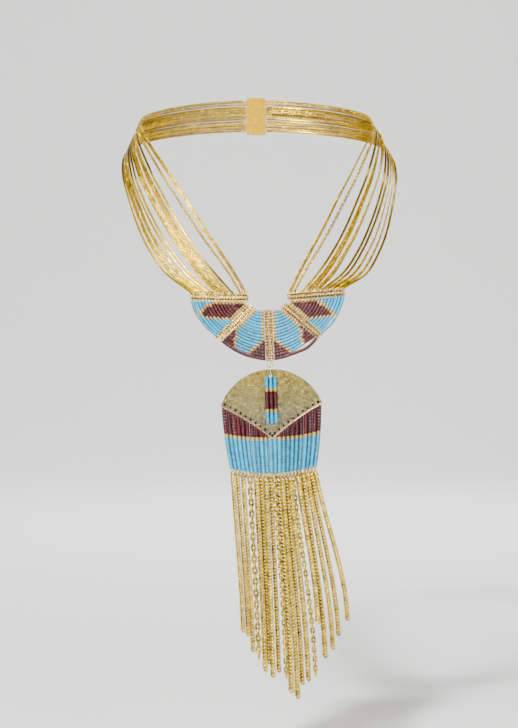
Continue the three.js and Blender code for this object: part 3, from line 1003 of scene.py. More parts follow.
@dataclass
class NeckChains:
    """The ten chains of each side, from the bib's end bars round the neck to the clasp.

    Attributes:
        bib: The fan whose end bars they hang from.
        drops: Depths below the nape at which each chain's spread is given.
        chains: The chains of one side, innermost first.
        gap: Distance between neighbours at the clasp.
        inner_side: How far out, forward and down the innermost chain is widest.
        outer_side: The same for the outermost chain.
        form_width: Half the width of the form they lie on, at the innermost's widest point,
            and what it gains for each millimetre down.
        form_reach: How far that form comes forward, and what it gains.
        form_centre: The y of its middle.
        facing_centre: The y that the chains' fronts face away from.
        fullness: Outer width of the links, as a share of the solid's.
        end_ring: Smallest radius of the link at a bar.
        end_wire: Radius of its wire.
        clasp_half: Half the clasp's width.
        clasp_depth: The clasp's middle in y.
        clasp_leg: Length over which the chains run straight into the clasp.
    """

    bib: "Bib"
    drops: tuple[float, ...] = (103, 91, 80, 63, 45.5)
    chains: tuple[NeckChain, ...] = (
        NeckChain(1.5, 11.3, (17.0, 24.1, 30.8, 40.2, 50.3), ChainKind.CURB),
        NeckChain(1.5, 13.6, (19.7, 27.7, 34.6, 44.3, 54.0), ChainKind.CABLE),
        NeckChain(1.3, 17.7, (26.9, 35.6, 42.2, 50.8, 58.8), ChainKind.SNAKE),
        NeckChain(2.4, 20.9, (30.3, 38.8, 45.3, 53.8, 61.5), ChainKind.MESH),
        NeckChain(2.5, 24.8, (34.4, 42.5, 49.1, 57.6, 65.1), ChainKind.WIDE_CURB),
        NeckChain(1.3, 27.8, (39.7, 48.5, 54.6, 62.2, 68.0), ChainKind.SNAKE),
        NeckChain(1.3, 30.1, (42.2, 50.7, 56.7, 64.2, 69.9), ChainKind.SNAKE),
        NeckChain(1.6, 32.7, (45.4, 53.9, 59.8, 66.3, 71.7), ChainKind.CURB),
        NeckChain(1.7, 35.6, (48.8, 57.1, 62.5, 68.6, 73.4), ChainKind.CURB),
        NeckChain(1.3, 38.2, (51.8, 59.9, 65.1, 70.6, 75.0), ChainKind.SNAKE),
    )
    gap: float = 0.3
    inner_side: tuple[float, float, float] = (65.5, 52.0, 13.5)
    outer_side: tuple[float, float, float] = (74.5, 44.0, 29.0)
    form_width: tuple[float, float] = (66.0, 0.47)
    form_reach: tuple[float, float] = (44.7, 0.33)
    form_centre: float = -52.0
    facing_centre: float = -42.0
    fullness: float = 1.1
    end_ring: float = 0.95
    end_wire: float = 0.27
    clasp_half: float = 6.0
    clasp_depth: float = 1.6
    clasp_leg: float = 5.0

    def shares(self) -> tuple[np.ndarray, float]:
        """How the chains share the clasp.

        Returns:
            Places of the chains side by side from 0 to 1, and their whole spread.
        """
        widths = np.array([chain.width for chain in self.chains])
        places = np.concatenate([[0], np.cumsum((widths[1:] + widths[:-1]) / 2 + self.gap)])
        return places / places[-1], float(places[-1])

    def route(self, chain: NeckChain, share: float, total: float, side: int) -> Route:
        """The line of one chain.

        At each drop the chain lies on an elliptical form that widens and comes forward as it
        goes down. Behind the widest point it follows a quarter of an ellipse to the nape.

        Args:
            chain: The chain.
            share: Its place side by side, from 0 to 1.
            total: The spread of all the chains at the clasp.
            side: -1 for left and 1 for right.

        Returns:
            The chain's line, facing away from the neck.
        """
        drops = np.array(self.drops)
        out = np.array(chain.spread)
        fall = drops - self.inner_side[2]
        half_width = self.form_width[0] + self.form_width[1] * fall
        reach = self.form_reach[0] + self.form_reach[1] * fall
        forward = self.form_centre - reach * np.sqrt(1 - (out / half_width) ** 2)
        front = np.stack([middle_at(-drops) + side * out, forward, -drops], axis=1)
        widest = np.array(self.inner_side) * (1 - share) + np.array(self.outer_side) * share
        nape = np.array([self.clasp_half + self.gap, self.clasp_depth, (0.5 - share) * total])
        lean = middle_at(-widest[2])
        angles = np.radians([0, 30, 60])
        turned, kept = np.sin(angles), np.cos(angles)
        back = np.stack(
            [
                lean * (1 - turned) + side * widest[0] * kept,
                -widest[1] * (1 - turned) + nape[1] * turned,
                -widest[2] * (1 - turned) + nape[2] * turned,
            ],
            axis=1,
        )
        ends = [[side * (nape[0] + leg), *nape[1:]] for leg in (self.clasp_leg, 0.0)]
        seat = self.bib.seat(chain.bar, side)
        points = smooth_line(np.vstack([seat, front, back, ends]), 40)
        height = points[:, 2]
        inside = np.stack(
            [middle_at(height), np.full(len(points), self.facing_centre), height], axis=1
        )
        return Route(points, points - inside)

    def end_link(self, route: Route, width: float) -> Surface:
        """The round link by which a chain is sewn to the end bar.

        Args:
            route: The chain's line.
            width: The chain's width.

        Returns:
            The link at the start of the line.
        """
        half = max(self.end_ring, width * 0.46)
        centres, axes = route.stations(np.array([half * 0.55]))
        ring = oval_ring(half, half, self.end_wire, 16, 6)
        return repeated(ring, centres, axes, np.array([0.6]))

    def build(self) -> None:
        """Makes the chains, each in place of its solid."""
        shares, total = self.shares()
        for side, label in ((-1, "left"), (1, "right")):
            for number, (chain, share) in enumerate(zip(self.chains, shares), 1):
                route = self.route(chain, float(share), total, side)
                width = chain.width * self.fullness
                links = chain_surface(route, width, chain.kind, 100 + number)
                make_piece(
                    f"chain_{label}_{number:02d}",
                    Surface.joined([links, self.end_link(route, width)]),
                    [Finish.YELLOW_GOLD],
                    Body.LOOP,
                    f"neck_chain_{label}_{number:02d}",
                )


# Bib


@dataclass(frozen=True)
class BarLine:
    """One bar's middle line in the fan's plane: x to the right and z up.

    Attributes:
        node: The solid that its links stand for.
        inner: The end near the fan's centre.
        outer: The end at the fan's edge.
    """

    node: str
    inner: tuple[float, float]
    outer: tuple[float, float]

    def ends(self) -> np.ndarray:
        """Both ends as rows."""
        return np.array([self.inner, self.outer], float)

    def beside(self, shares: np.ndarray, distance: float, towards: np.ndarray) -> np.ndarray:
        """Points beside the bar.

        Args:
            shares: Where along the bar, from 0 to 1.
            distance: How far to the side.
            towards: A point on that side.

        Returns:
            (n, 2) points.
        """
        start, end = self.ends()
        along = unit(end - start)
        normal = np.array([-along[1], along[0]])
        points = start + shares[:, None] * (end - start)
        return points + normal * np.sign((towards - start) @ normal) * distance


# Finish numbers of the beads, in the order of their finishes
TURQUOISE, MAROON, CREAM = 0, 1, 2
BEAD_FINISHES = (Finish.TURQUOISE, Finish.MAROON, Finish.CREAM)


@dataclass(frozen=True)
class Chart:
    """Where a panel's middle colour lies, row by row from the fan's centre outwards.

    Attributes:
        start: (row, share) pairs, the share of a row at which the middle colour starts.
        end: (row, share) pairs at which it ends.
        middle: Finish number inside the border.
        around: Finish number outside it.
    """

    start: tuple[tuple[float, float], ...]
    end: tuple[tuple[float, float], ...]
    middle: int
    around: int

    def finishes(self, row: int, shares: np.ndarray) -> np.ndarray:
        """Finish number of each bead in a row: cream on both borders.

        Args:
            row: Number of the row.
            shares: (n,) places of its beads.

        Returns:
            (n,) finish numbers.
        """
        start = np.interp(row, *np.array(self.start).T)
        end = np.interp(row, *np.array(self.end).T)
        reach = 0.55 / len(shares)
        near = (np.abs(shares - start) < reach) | (np.abs(shares - end) < reach)
        inside = (shares > start) & (shares < end)
        return np.where(near, CREAM, np.where(inside, self.middle, self.around))


@dataclass(frozen=True)
class Panel:
    """One beaded panel between two bars.

    Attributes:
        node: The solid that it stands for.
        start: Share of the bars at which its first row lies.
        chart: Its colours.
        slack_at: Where the outermost row hangs away from the others, as a share of the row.
        slack: How far it hangs away there.
        slot: The record's slot for it. It is not used.
    """

    node: str
    start: float
    chart: Chart
    slack_at: float
    slack: float
    slot: Slot


@dataclass
class Bib:
    """The fan: five bars of links and four panels of bead rows, in a plane of its own.

    Attributes:
        placement: Where the fan's plane hangs.
        bar_width: Width of a bar.
        gap: Gap between a bar and a panel's solid.
        overlap: How far a row of beads runs on into that gap.
        rows: Rows of a panel.
        bow: How far a row bows out, as a share of its length.
        slack_width: Width of the stretch over which a loose row hangs away, as a share of it.
        bead_diameter: Outer diameter of a bead.
        bead_pitch: Length of a bead on its thread.
        link_pitch: Step from link to link in a bar.
        link_sizes: Half length, half width and wire radius of a bar's link.
        link_roll: Turn of a bar's link about the bar, in degrees.
        link_slant: Its turn in the fan's plane.
        core_radius: Radius of the dark threads in a bar, which also paint the shade behind its
            links.
        core_inset: How far they end before the bar does.
        bars: The bars from left to right.
        panels: The panels from left to right.
    """

    placement: Placement = field(
        default_factory=lambda: Placement.turned(
            -15, -1.9, (float(middle_at(-111.4)), -127.1, -111.4)
        )
    )
    bar_width: float = 4.2
    gap: float = 0.3
    overlap: float = 0.25
    rows: int = 16
    bow: float = 0.08
    slack_width: float = 0.24
    bead_diameter: float = 1.56
    bead_pitch: float = 1.5
    link_pitch: float = 1.5
    link_sizes: tuple[float, float, float] = (1.24, 1.06, 0.37)
    link_roll: float = 20.0
    link_slant: float = 32.0
    core_radius: float = 0.3
    core_inset: float = 0.8
    bars: tuple[BarLine, ...] = (
        BarLine("bar_left_end", (-10, -5), (-39, -3.6)),
        BarLine("bar_left", (-7.9, -9.5), (-25.6, -26.3)),
        BarLine("bar_centre", (0, -11.7), (0, -38.2)),
        BarLine("bar_right", (7.9, -9.5), (25.6, -26.3)),
        BarLine("bar_right_end", (10, -5), (39, -3.6)),
    )
    panels: tuple[Panel, ...] = (
        Panel(
            "bead_panel_1",
            0.05,
            Chart(((8, 0), (14.6, 0.36)), ((5.5, 1), (7.4, 0.86), (14.6, 0.36)), MAROON, TURQUOISE),
            0.2,
            0.4,
            Slot.TURQUOISE_BEADS,
        ),
        Panel(
            "bead_panel_2",
            0,
            Chart(
                ((8, 0), (14.4, 0.34), (14.5, -1)),
                ((8.4, 1), (14.4, 0.58), (14.5, -1)),
                TURQUOISE,
                MAROON,
            ),
            0.5,
            0.1,
            Slot.MAROON_BEADS,
        ),
        Panel(
            "bead_panel_3",
            0,
            Chart(
                ((8.6, 0), (14.4, 0.42), (14.5, -1)),
                ((6.5, 1), (14.4, 0.66), (14.5, -1)),
                TURQUOISE,
                MAROON,
            ),
            0.78,
            1.7,
            Slot.MAROON_BEADS,
        ),
        Panel(
            "bead_panel_4",
            0.05,
            Chart(((6.5, 0), (14.2, 0.5)), ((5.4, 1), (14.2, 0.52)), MAROON, TURQUOISE),
            0.3,
            0.6,
            Slot.TURQUOISE_BEADS,
        ),
    )

    def seat(self, reach: float, side: int) -> np.ndarray:
        """Where a chain meets the upper edge of an end bar.

        Args:
            reach: Distance out from the fan's centre.
            side: -1 for left and 1 for right.

        Returns:
            The point in the necklace's frame.
        """
        bar = self.bars[0 if side < 0 else -1]
        inner, outer = np.abs(bar.ends()[:, 0])
        share = (reach - inner) / (outer - inner)
        point = bar.beside(np.array([share]), self.bar_width / 2, np.array([side * reach, 1.0]))[0]
        return self.placement.to_world(np.array([point[0], 0.0, point[1]]))

    def row_line(self, panel: int, row: float, steps: int = 60) -> np.ndarray:
        """The thread of one row: a chord from bar to bar, bowed outwards as a parabola.

        The rows near the outer edge give way where the outermost hangs loose, by a bell curve
        about its slackest point.

        Args:
            panel: Number of the panel.
            row: Number of the row, outwards. A half lies between two rows.
            steps: Points on the line.

        Returns:
            (steps, 3) points in the fan's plane.
        """
        first, second = self.bars[panel], self.bars[panel + 1]
        share = self.panels[panel].start
        share = np.array([share + (1 - share) * (row + 0.5) / self.rows])
        reach = self.bar_width / 2 + self.gap - self.overlap
        start = first.beside(share, reach, second.ends().mean(0))[0]
        end = second.beside(share, reach, first.ends().mean(0))[0]
        t = np.linspace(0, 1, steps)[:, None]
        chord = end - start
        out = np.array([chord[1], -chord[0]])
        out = out if out @ start > 0 else -out
        bell = np.exp(-(((t - self.panels[panel].slack_at) / self.slack_width) ** 2))
        bell = bell * np.sqrt(4 * t * (1 - t))
        last = self.rows - 1
        give = np.interp(row, (last - 4, last - 1, last), (0.0, -0.45, 0.55))
        line = start + chord * t + out * 4 * self.bow * t * (1 - t)
        line = line + unit(out) * bell * give * self.panels[panel].slack
        return upright(line)

    def crowding(self, panel: int, row: int, shares: np.ndarray) -> np.ndarray:
        """How far each bead of a row is pressed wide by the rows beside it.

        It is the distance between the lines half a row inwards and half a row outwards, as a
        share of the bead's diameter, and never more than a twelfth over it.

        Args:
            panel: Number of the panel.
            row: Number of the row.
            shares: (n,) places of its beads.

        Returns:
            (n,) factors.
        """
        inner, outer = self.row_line(panel, row - 0.5), self.row_line(panel, row + 0.5)
        room = np.linalg.norm(outer - inner, axis=1)
        room = np.interp(shares, np.linspace(0, 1, len(room)), room)
        return np.clip(room / self.bead_diameter, 0.9, 1.085)

    def build_panel(self, number: int) -> None:
        """Threads beads on the rows of one panel.

        Args:
            number: Number of the panel, from the left.
        """
        panel = self.panels[number]
        rng = np.random.default_rng(40 + number)
        bead = turned_bead(self.bead_diameter, self.bead_pitch, 0.5, 0.84, 0.92)
        parts = []
        for row in range(self.rows):
            route = Route(self.row_line(number, row), FRONT)
            places = route.places(self.bead_pitch)
            centres, axes = route.stations(places)
            kinds = panel.chart.finishes(row, places / route.length)
            axes[:, 1] *= self.crowding(number, row, places / route.length)[:, None]
            centres = centres + rng.normal(0, 0.014, centres.shape)
            tones = rng.uniform(0.5, 0.75, len(places)) + rng.uniform(-0.12, 0.12)
            parts.append(repeated(bead, centres, axes, tones, kinds))
        surface = Surface.joined(parts).placed(self.placement)
        name = f"beadwork_{number + 1}"
        make_piece(name, surface, BEAD_FINISHES, Body.LOOP, panel.node)

    def bar_surface(self, bar: BarLine, seed: int) -> Surface:
        """Two columns of round curb links down the length of the bar, on dark waxed threads whose
        darkness also paints the shade behind the gaps between links.

        The columns slant against each other, so that their links meet in a herringbone.

        Args:
            bar: The bar's line.
            seed: Start of the links' tones.

        Returns:
            The bar's links in the fan's plane.
        """
        rng = np.random.default_rng(seed)
        start, end = bar.ends()
        line = start + np.linspace(0, 1, 30)[:, None] * (end - start)
        points = upright(line)
        route = Route(points, FRONT)
        column = self.bar_width / 4 - 0.05
        link = oval_ring(*self.link_sizes)
        centres, axes = route.stations(route.places(self.link_pitch))
        count = len(centres)
        parts = []
        for side in (-1, 1):
            roll = turns(0, np.full(count, self.link_roll))
            turned = roll @ turns(2, np.full(count, self.link_slant * side))
            shift = side * column
            local = np.einsum("nji,njk->nik", turned, axes)
            tones = rng.uniform(0.35, 0.75, count)
            parts.append(repeated(link, centres + shift * axes[:, 1], local, tones))
            # The dark core is thread, and painted shade seen through the gaps between links.
            thread = Route(points + shift * axes[0, 1], FRONT)
            stretch = np.linspace(self.core_inset, route.length - self.core_inset, 24)
            core = swept_tube(thread, stretch, np.full(24, self.core_radius))
            core.finishes[:] = 1
            parts.append(core)
        return Surface.joined(parts)

    def build_bar(self, number: int, eye: Surface) -> None:
        """Makes one bar's links. The centre bar also gets the pendant's wire eye.

        Args:
            number: Number of the bar, from the left.
            eye: The wire eye, in the necklace's frame.
        """
        bar = self.bars[number]
        surface = self.bar_surface(bar, 60 + number).placed(self.placement)
        finishes = [Finish.ROSE_GOLD, Finish.THREAD_AND_SHADE]
        if bar.node == "bar_centre":
            eye.finishes[:] = 2
            surface = Surface.joined([surface, eye])
            finishes.append(Finish.WIRE)
        name = bar.node.replace("bar", "links")
        make_piece(name, surface, finishes, Body.LOOP, bar.node)

    def build(self, eye: Surface) -> None:
        """Makes the bars and the panels.

        Args:
            eye: The wire eye under the centre bar, in the necklace's frame.
        """
        for number in range(len(self.bars)):
            self.build_bar(number, eye)
        for number in range(len(self.panels)):
            self.build_panel(number)


# Pendant


@dataclass(frozen=True)
class FringeChain:
    """One chain of the fringe.

    Attributes:
        top: Its place on the carrier, from -1 to 1.
        lean: How far its tip hangs to the right of its top, as a share of the fringe's length.
        drop: Depth of its tip under the carrier, as such a share.
        width: Outer width.
        layer: -1 in front and 1 behind.
        kind: Kind of chain.
    """

    top: float
    lean: float
    drop: float
    width: float
    layer: int
    kind: ChainKind


@dataclass
class Pendant:
    """The plate on its rings, with the beads on it, the bead curtain and the fringe.

    Heights are below the foot of the bib's centre bar, where the group's origin is.

    Attributes:
        placement: Where the group hangs.
        wire: Diameter of the rings' wire.
        eye_radius: Radius of the bar's eye, to the middle of its wire.
        eye_height: Height of its centre.
        bib_ring_radius: Radius of the upper ring, to the middle of its wire.
        bib_ring_height: Height of its centre.
        pendant_ring_radius: Radius of the lower ring, to the middle of its wire.
        pendant_ring_height: Height of its centre.
        plate_radius: Radius of the plate's round top.
        plate_thickness: Thickness of the sheet.
        plate_centre: Height of the round top's centre.
        corner_rise: How far the plate's corners lie above that centre.
        tip_drop: How far its tip lies below it.
        edge_bow: How far a half edge's control point lies above the middle of its chord.
        hang_hole: Height and radius of the hole that the lower ring runs through.
        lacing_radius: Radius of a lacing hole.
        lacing_inset: Distance of the lacing holes from the edge.
        lacing_holes: Lacing holes on each side of the tip.
        dent_mm: Distance between hammer blows.
        dent_depth: Depth of a full blow.
        hole_shade_radius: Radius of the dark plug in a lacing hole, which paints its shade.
        hanging_thread: Radius of the dark threads that the strands hang on, which also paint the
            shade in the gaps between them.
        seed_bead: Diameter of the pendant's beads.
        bead_pitch: Length of a bead on its thread.
        ornament_top: Height at which the bead columns on the plate start.
        ornament_y: The y of their middle.
        ornament_count: Beads in a column.
        strands: Strands of the curtain.
        curtain_top: Width of the curtain at its top.
        curtain_foot: Width at its foot.
        curtain_drop: How far its foot lies below the round top's centre.
        curtain_sag: How much lower the foot is in the middle.
        curtain_taper: Power by which a strand moves in on its way down.
        maroon_foot: Distance of the maroon beads from the strand's foot.
        strand_rise: How far a strand starts above the plate's edge.
        strand_tuck: How far it starts behind the plate's middle.
        carrier_width: Width of the fringe's carrier band.
        carrier_height: Its height.
        carrier_inset: How much narrower its links are.
        fringe_gap: Gap between the curtain's solid and the carrier's.
        fringe_overlap: How far the fringe's chains reach up into the carrier.
        fringe_length: Length of the longest chain of the fringe.
        layer_depth: Distance of a layer of chains from the middle.
        fullness: Outer width of the fringe's links, as a share of the solid's.
        fringe: The fringe's chains from left to right.
    """

    placement: Placement = field(
        default_factory=lambda: Placement.turned(0, -1.8, (7.2384, -136.9815, -148.2781))
    )
    wire: float = 0.6
    eye_radius: float = 0.8
    eye_height: float = -0.7
    bib_ring_radius: float = 1.4
    bib_ring_height: float = -2.1
    pendant_ring_radius: float = 2.4
    pendant_ring_height: float = -5.1
    plate_radius: float = 27.0
    plate_thickness: float = 0.8
    plate_centre: float = -31.385
    corner_rise: float = 9.2
    tip_drop: float = 8.2
    edge_bow: float = 2.3
    hang_hole: tuple[float, float] = (-7.685, 0.85)
    lacing_radius: float = 0.5
    lacing_inset: float = 1.7
    lacing_holes: int = 10
    dent_mm: float = 1.5
    dent_depth: float = 0.16
    hole_shade_radius: float = 0.62
    hanging_thread: float = 0.4
    seed_bead: float = 2.1
    bead_pitch: float = 1.46
    ornament_top: float = -8.1
    ornament_y: float = -1.75
    ornament_count: int = 16
    strands: int = 22
    curtain_top: float = 50.0
    curtain_foot: float = 43.5
    curtain_drop: float = 25.0
    curtain_sag: float = 2.9
    curtain_taper: float = 1.7
    maroon_foot: float = 17.2
    strand_rise: float = 0.75
    strand_tuck: float = 0.72
    carrier_width: float = 44.0
    carrier_height: float = 3.0
    carrier_inset: float = 2.4
    fringe_gap: float = 0.3
    fringe_overlap: float = 0.7
    fringe_length: float = 109.0
    layer_depth: float = 0.7
    fullness: float = 1.12
    fringe: tuple[FringeChain, ...] = (
        FringeChain(-0.93, 0.025, 0.69, 1.9, -1, ChainKind.CURB),
        FringeChain(-0.82, 0.025, 0.71, 1.9, 1, ChainKind.CURB),
        FringeChain(-0.69, 0.02, 0.78, 2.0, -1, ChainKind.CURB),
        FringeChain(-0.54, 0.015, 0.815, 2.6, 1, ChainKind.LONG),
        FringeChain(-0.4, 0.015, 0.87, 2.2, -1, ChainKind.CURB),
        FringeChain(-0.29, 0.01, 0.84, 2.0, 1, ChainKind.CURB),
        FringeChain(-0.18, 0.005, 0.9, 2.4, -1, ChainKind.WIDE_CURB),
        FringeChain(-0.07, 0.01, 0.88, 2.0, 1, ChainKind.CURB),
        FringeChain(0.02, 0.025, 0.905, 2.2, -1, ChainKind.LONG),
        FringeChain(0.1, 0.03, 0.975, 2.6, 1, ChainKind.WIDE_CURB),
        FringeChain(0.19, 0.04, 1.0, 2.2, -1, ChainKind.CURB),
        FringeChain(0.28, 0.045, 0.94, 2.0, 1, ChainKind.CURB),
        FringeChain(0.37, 0.055, 0.92, 2.2, -1, ChainKind.CURB),
        FringeChain(0.44, 0.075, 0.905, 2.2, 1, ChainKind.LONG),
        FringeChain(0.55, 0.07, 0.66, 2.4, -1, ChainKind.WIDE_CURB),
        FringeChain(0.67, 0.075, 0.82, 2.2, 1, ChainKind.CURB),
        FringeChain(0.77, 0.09, 0.78, 2.0, -1, ChainKind.CURB),
        FringeChain(0.86, 0.1, 0.72, 2.0, 1, ChainKind.CURB),
        FringeChain(0.95, 0.125, 0.65, 2.0, -1, ChainKind.CURB),
    )

    def _put(
        self,
        name: str,
        surface: Surface,
        finishes: Sequence[Finish],
        node: str,
        body: Body = Body.PENDANT,
    ) -> None:
        """Makes a piece from a surface in the pendant's own frame."""
        make_piece(name, surface.placed(self.placement), finishes, body, node)

    def ring(self, radius: float, height: float, across: bool) -> Surface:
        """A jump ring of round wire.

        Args:
            radius: Radius to the middle of the wire.
            height: Height of its centre.
            across: Whether it stands across the plate, in the YZ plane.

        Returns:
            The ring in the pendant's frame.
        """
        wire = self.wire / 2
        flat = oval_ring(radius + wire, radius + wire, wire, 40, 12)
        x, y, z = flat.points.T
        points = [z, x, y] if across else [x, z, y]
        shifted = np.stack(points, axis=1) + np.array([0, 0, height])
        return Surface.plain(shifted, flat.quads)

    def eye(self) -> Surface:
        """The wire eye under the centre bar, in the necklace's frame."""
        return self.ring(self.eye_radius, self.eye_height, True).placed(self.placement)

    def build_rings(self) -> None:
        """Makes both rings."""
        first = self.ring(self.bib_ring_radius, self.bib_ring_height, False)
        second = self.ring(self.pendant_ring_radius, self.pendant_ring_height, True)
        self._put("jump_ring_upper", first, [Finish.WIRE], "bib_ring", Body.LINK)
        self._put("jump_ring_lower", second, [Finish.WIRE], "pendant_ring")

    def edge(self, t: np.ndarray) -> np.ndarray:
        """The plate's lower edge from its left corner (-1) by the tip (0) to the right (1).

        Each half is a quadratic curve from the tip to a corner, whose control point lies the
        bow above the middle of the chord.

        Args:
            t: (n,) places on the edge.

        Returns:
            (n, 2) points.
        """
        corner_x = np.sqrt(self.plate_radius**2 - self.corner_rise**2)
        tip = self.plate_centre - self.tip_drop
        corner = self.plate_centre + self.corner_rise
        s = np.abs(t)
        control = (tip + corner) / 2 + self.edge_bow
        height = (1 - s) ** 2 * tip + 2 * s * (1 - s) * control + s**2 * corner
        return np.stack([t * corner_x, height], axis=1)

    def arc(self, t: np.ndarray) -> np.ndarray:
        """The plate's round top from its left corner (-1) to the right (1): a circle's arc.

        Args:
            t: (n,) places on the arc.

        Returns:
            (n, 2) points.
        """
        reach = np.pi / 2 - np.arcsin(self.corner_rise / self.plate_radius)
        x = self.plate_radius * np.sin(t * reach)
        return np.stack([x, self.plate_centre + self.plate_radius * np.cos(t * reach)], axis=1)

    def dents(self, points: np.ndarray) -> np.ndarray:
        """Depth of the hammer's dents.

        Each blow leaves a shallow bowl about its own middle, as deep as one minus the squared
        distance over its squared radius, and the nearest blow counts.

        Args:
            points: (n, 2) points of the sheet.

        Returns:
            (n,) depths in millimetres.
        """
        rng = np.random.default_rng(11)
        step = self.dent_mm
        x, z = np.meshgrid(np.arange(-28, 28, step), np.arange(-42, -2, step))
        blows = np.stack([x.ravel(), z.ravel()], axis=1)
        blows = blows + rng.uniform(-0.5, 0.5, blows.shape) * step
        force = rng.uniform(0.4, 1.0, len(blows))
        distance = np.linalg.norm(points[:, None, :] - blows[None], axis=2)
        nearest = np.argmin(distance, axis=1)
        share = np.take_along_axis(distance, nearest[:, None], 1)[:, 0] / step
        return self.dent_depth * force[nearest] * (1 - share**2)

    def sheet_surface(self) -> Surface:
        """The sheet: straight lines from the round top to the lower edge, on both sides.

        The front stands proud by half the thickness less the dents, and the back is plain.

        Returns:
            The closed sheet in the pendant's frame.
        """
        columns, rows = 221, 121
        t = np.linspace(-0.998, 0.998, columns)
        v = np.linspace(0, 1, rows)[:, None, None]
        grid = self.arc(t)[None] * (1 - v) + self.edge(t)[None] * v
        flat = grid.reshape(-1, 2)
        half = self.plate_thickness / 2
        front = -half + self.dents(flat)
        back = np.full(len(flat), half)
        skins = [np.stack([flat[:, 0], y, flat[:, 1]], axis=1) for y in (front, back)]
        row, column = np.meshgrid(np.arange(rows - 1), np.arange(columns - 1), indexing="ij")
        a = (row * columns + column).ravel()
        face = np.stack([a, a + 1, a + columns + 1, a + columns], axis=1)
        size = rows * columns
        rim = np.concatenate(
            [
                np.arange(columns - 1),
                np.arange(columns - 1, size - 1, columns),
                np.arange(size - 1, size - columns, -1),
                np.arange(size - columns, 0, -columns),
            ]
        )
        after = np.roll(rim, -1)
        wall = np.stack([rim, rim + size, after + size, after], axis=1)
        quads = np.concatenate([face, face[:, ::-1] + size, wall])
        return Surface.plain(np.concatenate(skins), quads)

    def rim_surface(self) -> Surface:
        """Round rims: one along the lower edge, bright with a painted highlight, and a plain one
        over the top.

        Each is a tube along the plate's outline, set in towards its middle.

        Returns:
            Both rims in the pendant's frame.
        """
        wire = self.plate_thickness / 2 + 0.03
        t = np.linspace(-1, 1, 121)
        rims = []
        # The lower edge's rim takes finish 1, whose bright colour is a painted highlight.
        for line, inset, finish in ((self.edge(t), 0.38, 1), (self.arc(t), 0.36, 0)):
            towards = unit(np.array([0.0, self.plate_centre + 2]) - line)
            route = Route(upright(line + towards * inset), FRONT)
            distances = np.linspace(0, route.length, 121)
            rim = swept_tube(route, distances, np.full(121, wire))
            rim.finishes[:] = finish
            rims.append(rim)
        return Surface.joined(rims)

    def hole_places(self) -> list[tuple[float, float, float]]:
        """The hanging hole and the row of lacing holes.

        Returns:
            Sideways place, height and radius of each hole, the hanging hole first.
        """
        tip = self.plate_centre - self.tip_drop
        places = [(0.0, *self.hang_hole), (0.0, tip + self.lacing_inset * 1.3, self.lacing_radius)]
        route = Route(upright(self.edge(np.linspace(0, 1, 200))), FRONT)
        shares = np.arange(1, self.lacing_holes + 1) / (self.lacing_holes + 0.5)
        centres, axes = route.stations(shares * route.length)
        inward = np.stack([-axes[:, 0, 2], axes[:, 0, 0]], axis=1)
        holes = centres[:, [0, 2]] + inward * self.lacing_inset
        for x, z in holes:
            places += [(x, z, self.lacing_radius), (-x, z, self.lacing_radius)]
        return places

    def drills(self) -> bpy.types.Object:
        """Cylinders of 16 sides through the sheet, one for each hole.

        Returns:
            One object with all of them.
        """
        cylinders = bmesh.new()
        turn = Matrix(self.placement.turn.tolist()).to_4x4()
        for x, z, radius in self.hole_places():
            middle = self.placement.to_world(np.array([x, 0.0, z])) * MM
            place = Matrix.Translation(Vector(middle)) @ turn @ Matrix.Rotation(np.pi / 2, 4, "X")
            bmesh.ops.create_cone(
                cylinders,
                cap_ends=True,
                segments=16,
                radius1=radius * MM,
                radius2=radius * MM,
                depth=4 * MM,
                matrix=place,
            )
        mesh = bpy.data.meshes.new("drills")
        cylinders.to_mesh(mesh)
        cylinders.free()
        cutter = bpy.data.objects.new("drills", mesh)
        bpy.context.scene.collection.objects.link(cutter)
        return cutter

    def build_plate(self) -> None:
        """Makes the hammered sheet, drills its holes and adds its rims."""
        node, slot = "pendant_plate", Slot.HAMMERED_BRASS
        surface = self.sheet_surface().placed(self.placement)
        sheet = make_piece("hammered_plate", surface, [Finish.SHEET], Body.PENDANT, node)
        cutter = self.drills()
        cut = sheet.modifiers.new("holes", "BOOLEAN")
        cut.object = cutter
        cut.operation = "DIFFERENCE"
        cut.solver = "EXACT"
        bpy.context.view_layer.update()
        graph = bpy.context.evaluated_depsgraph_get()
        drilled = bpy.data.meshes.new_from_object(sheet.evaluated_get(graph))
        sheet.modifiers.clear()
        sheet.data = drilled
        bpy.data.objects.remove(cutter)
        self._put("plate_rim", self.rim_surface(), [Finish.SHEET, Finish.RIM_HIGHLIGHT], node)

    def build_hole_shade(self) -> None:
        """Fills each lacing hole with a short dark plug that stands a little proud: painted shade
        in the hole.
        """
        proud = self.plate_thickness / 2 + 0.06
        threads = []
        for x, z, _ in self.hole_places()[1:]:
            # Each dark plug is painted shade in its hole.
            route = Route(np.array([[x, -proud, z], [x, 0, z], [x, proud, z]]), UP)
            radii = np.full(3, self.hole_shade_radius)
            threads.append(swept_tube(route, np.linspace(0, route.length, 3), radii))
        surface = Surface.joined(threads)
        self._put("lacing_hole_painted_shade", surface, [Finish.THREAD_AND_SHADE], "pendant_plate")

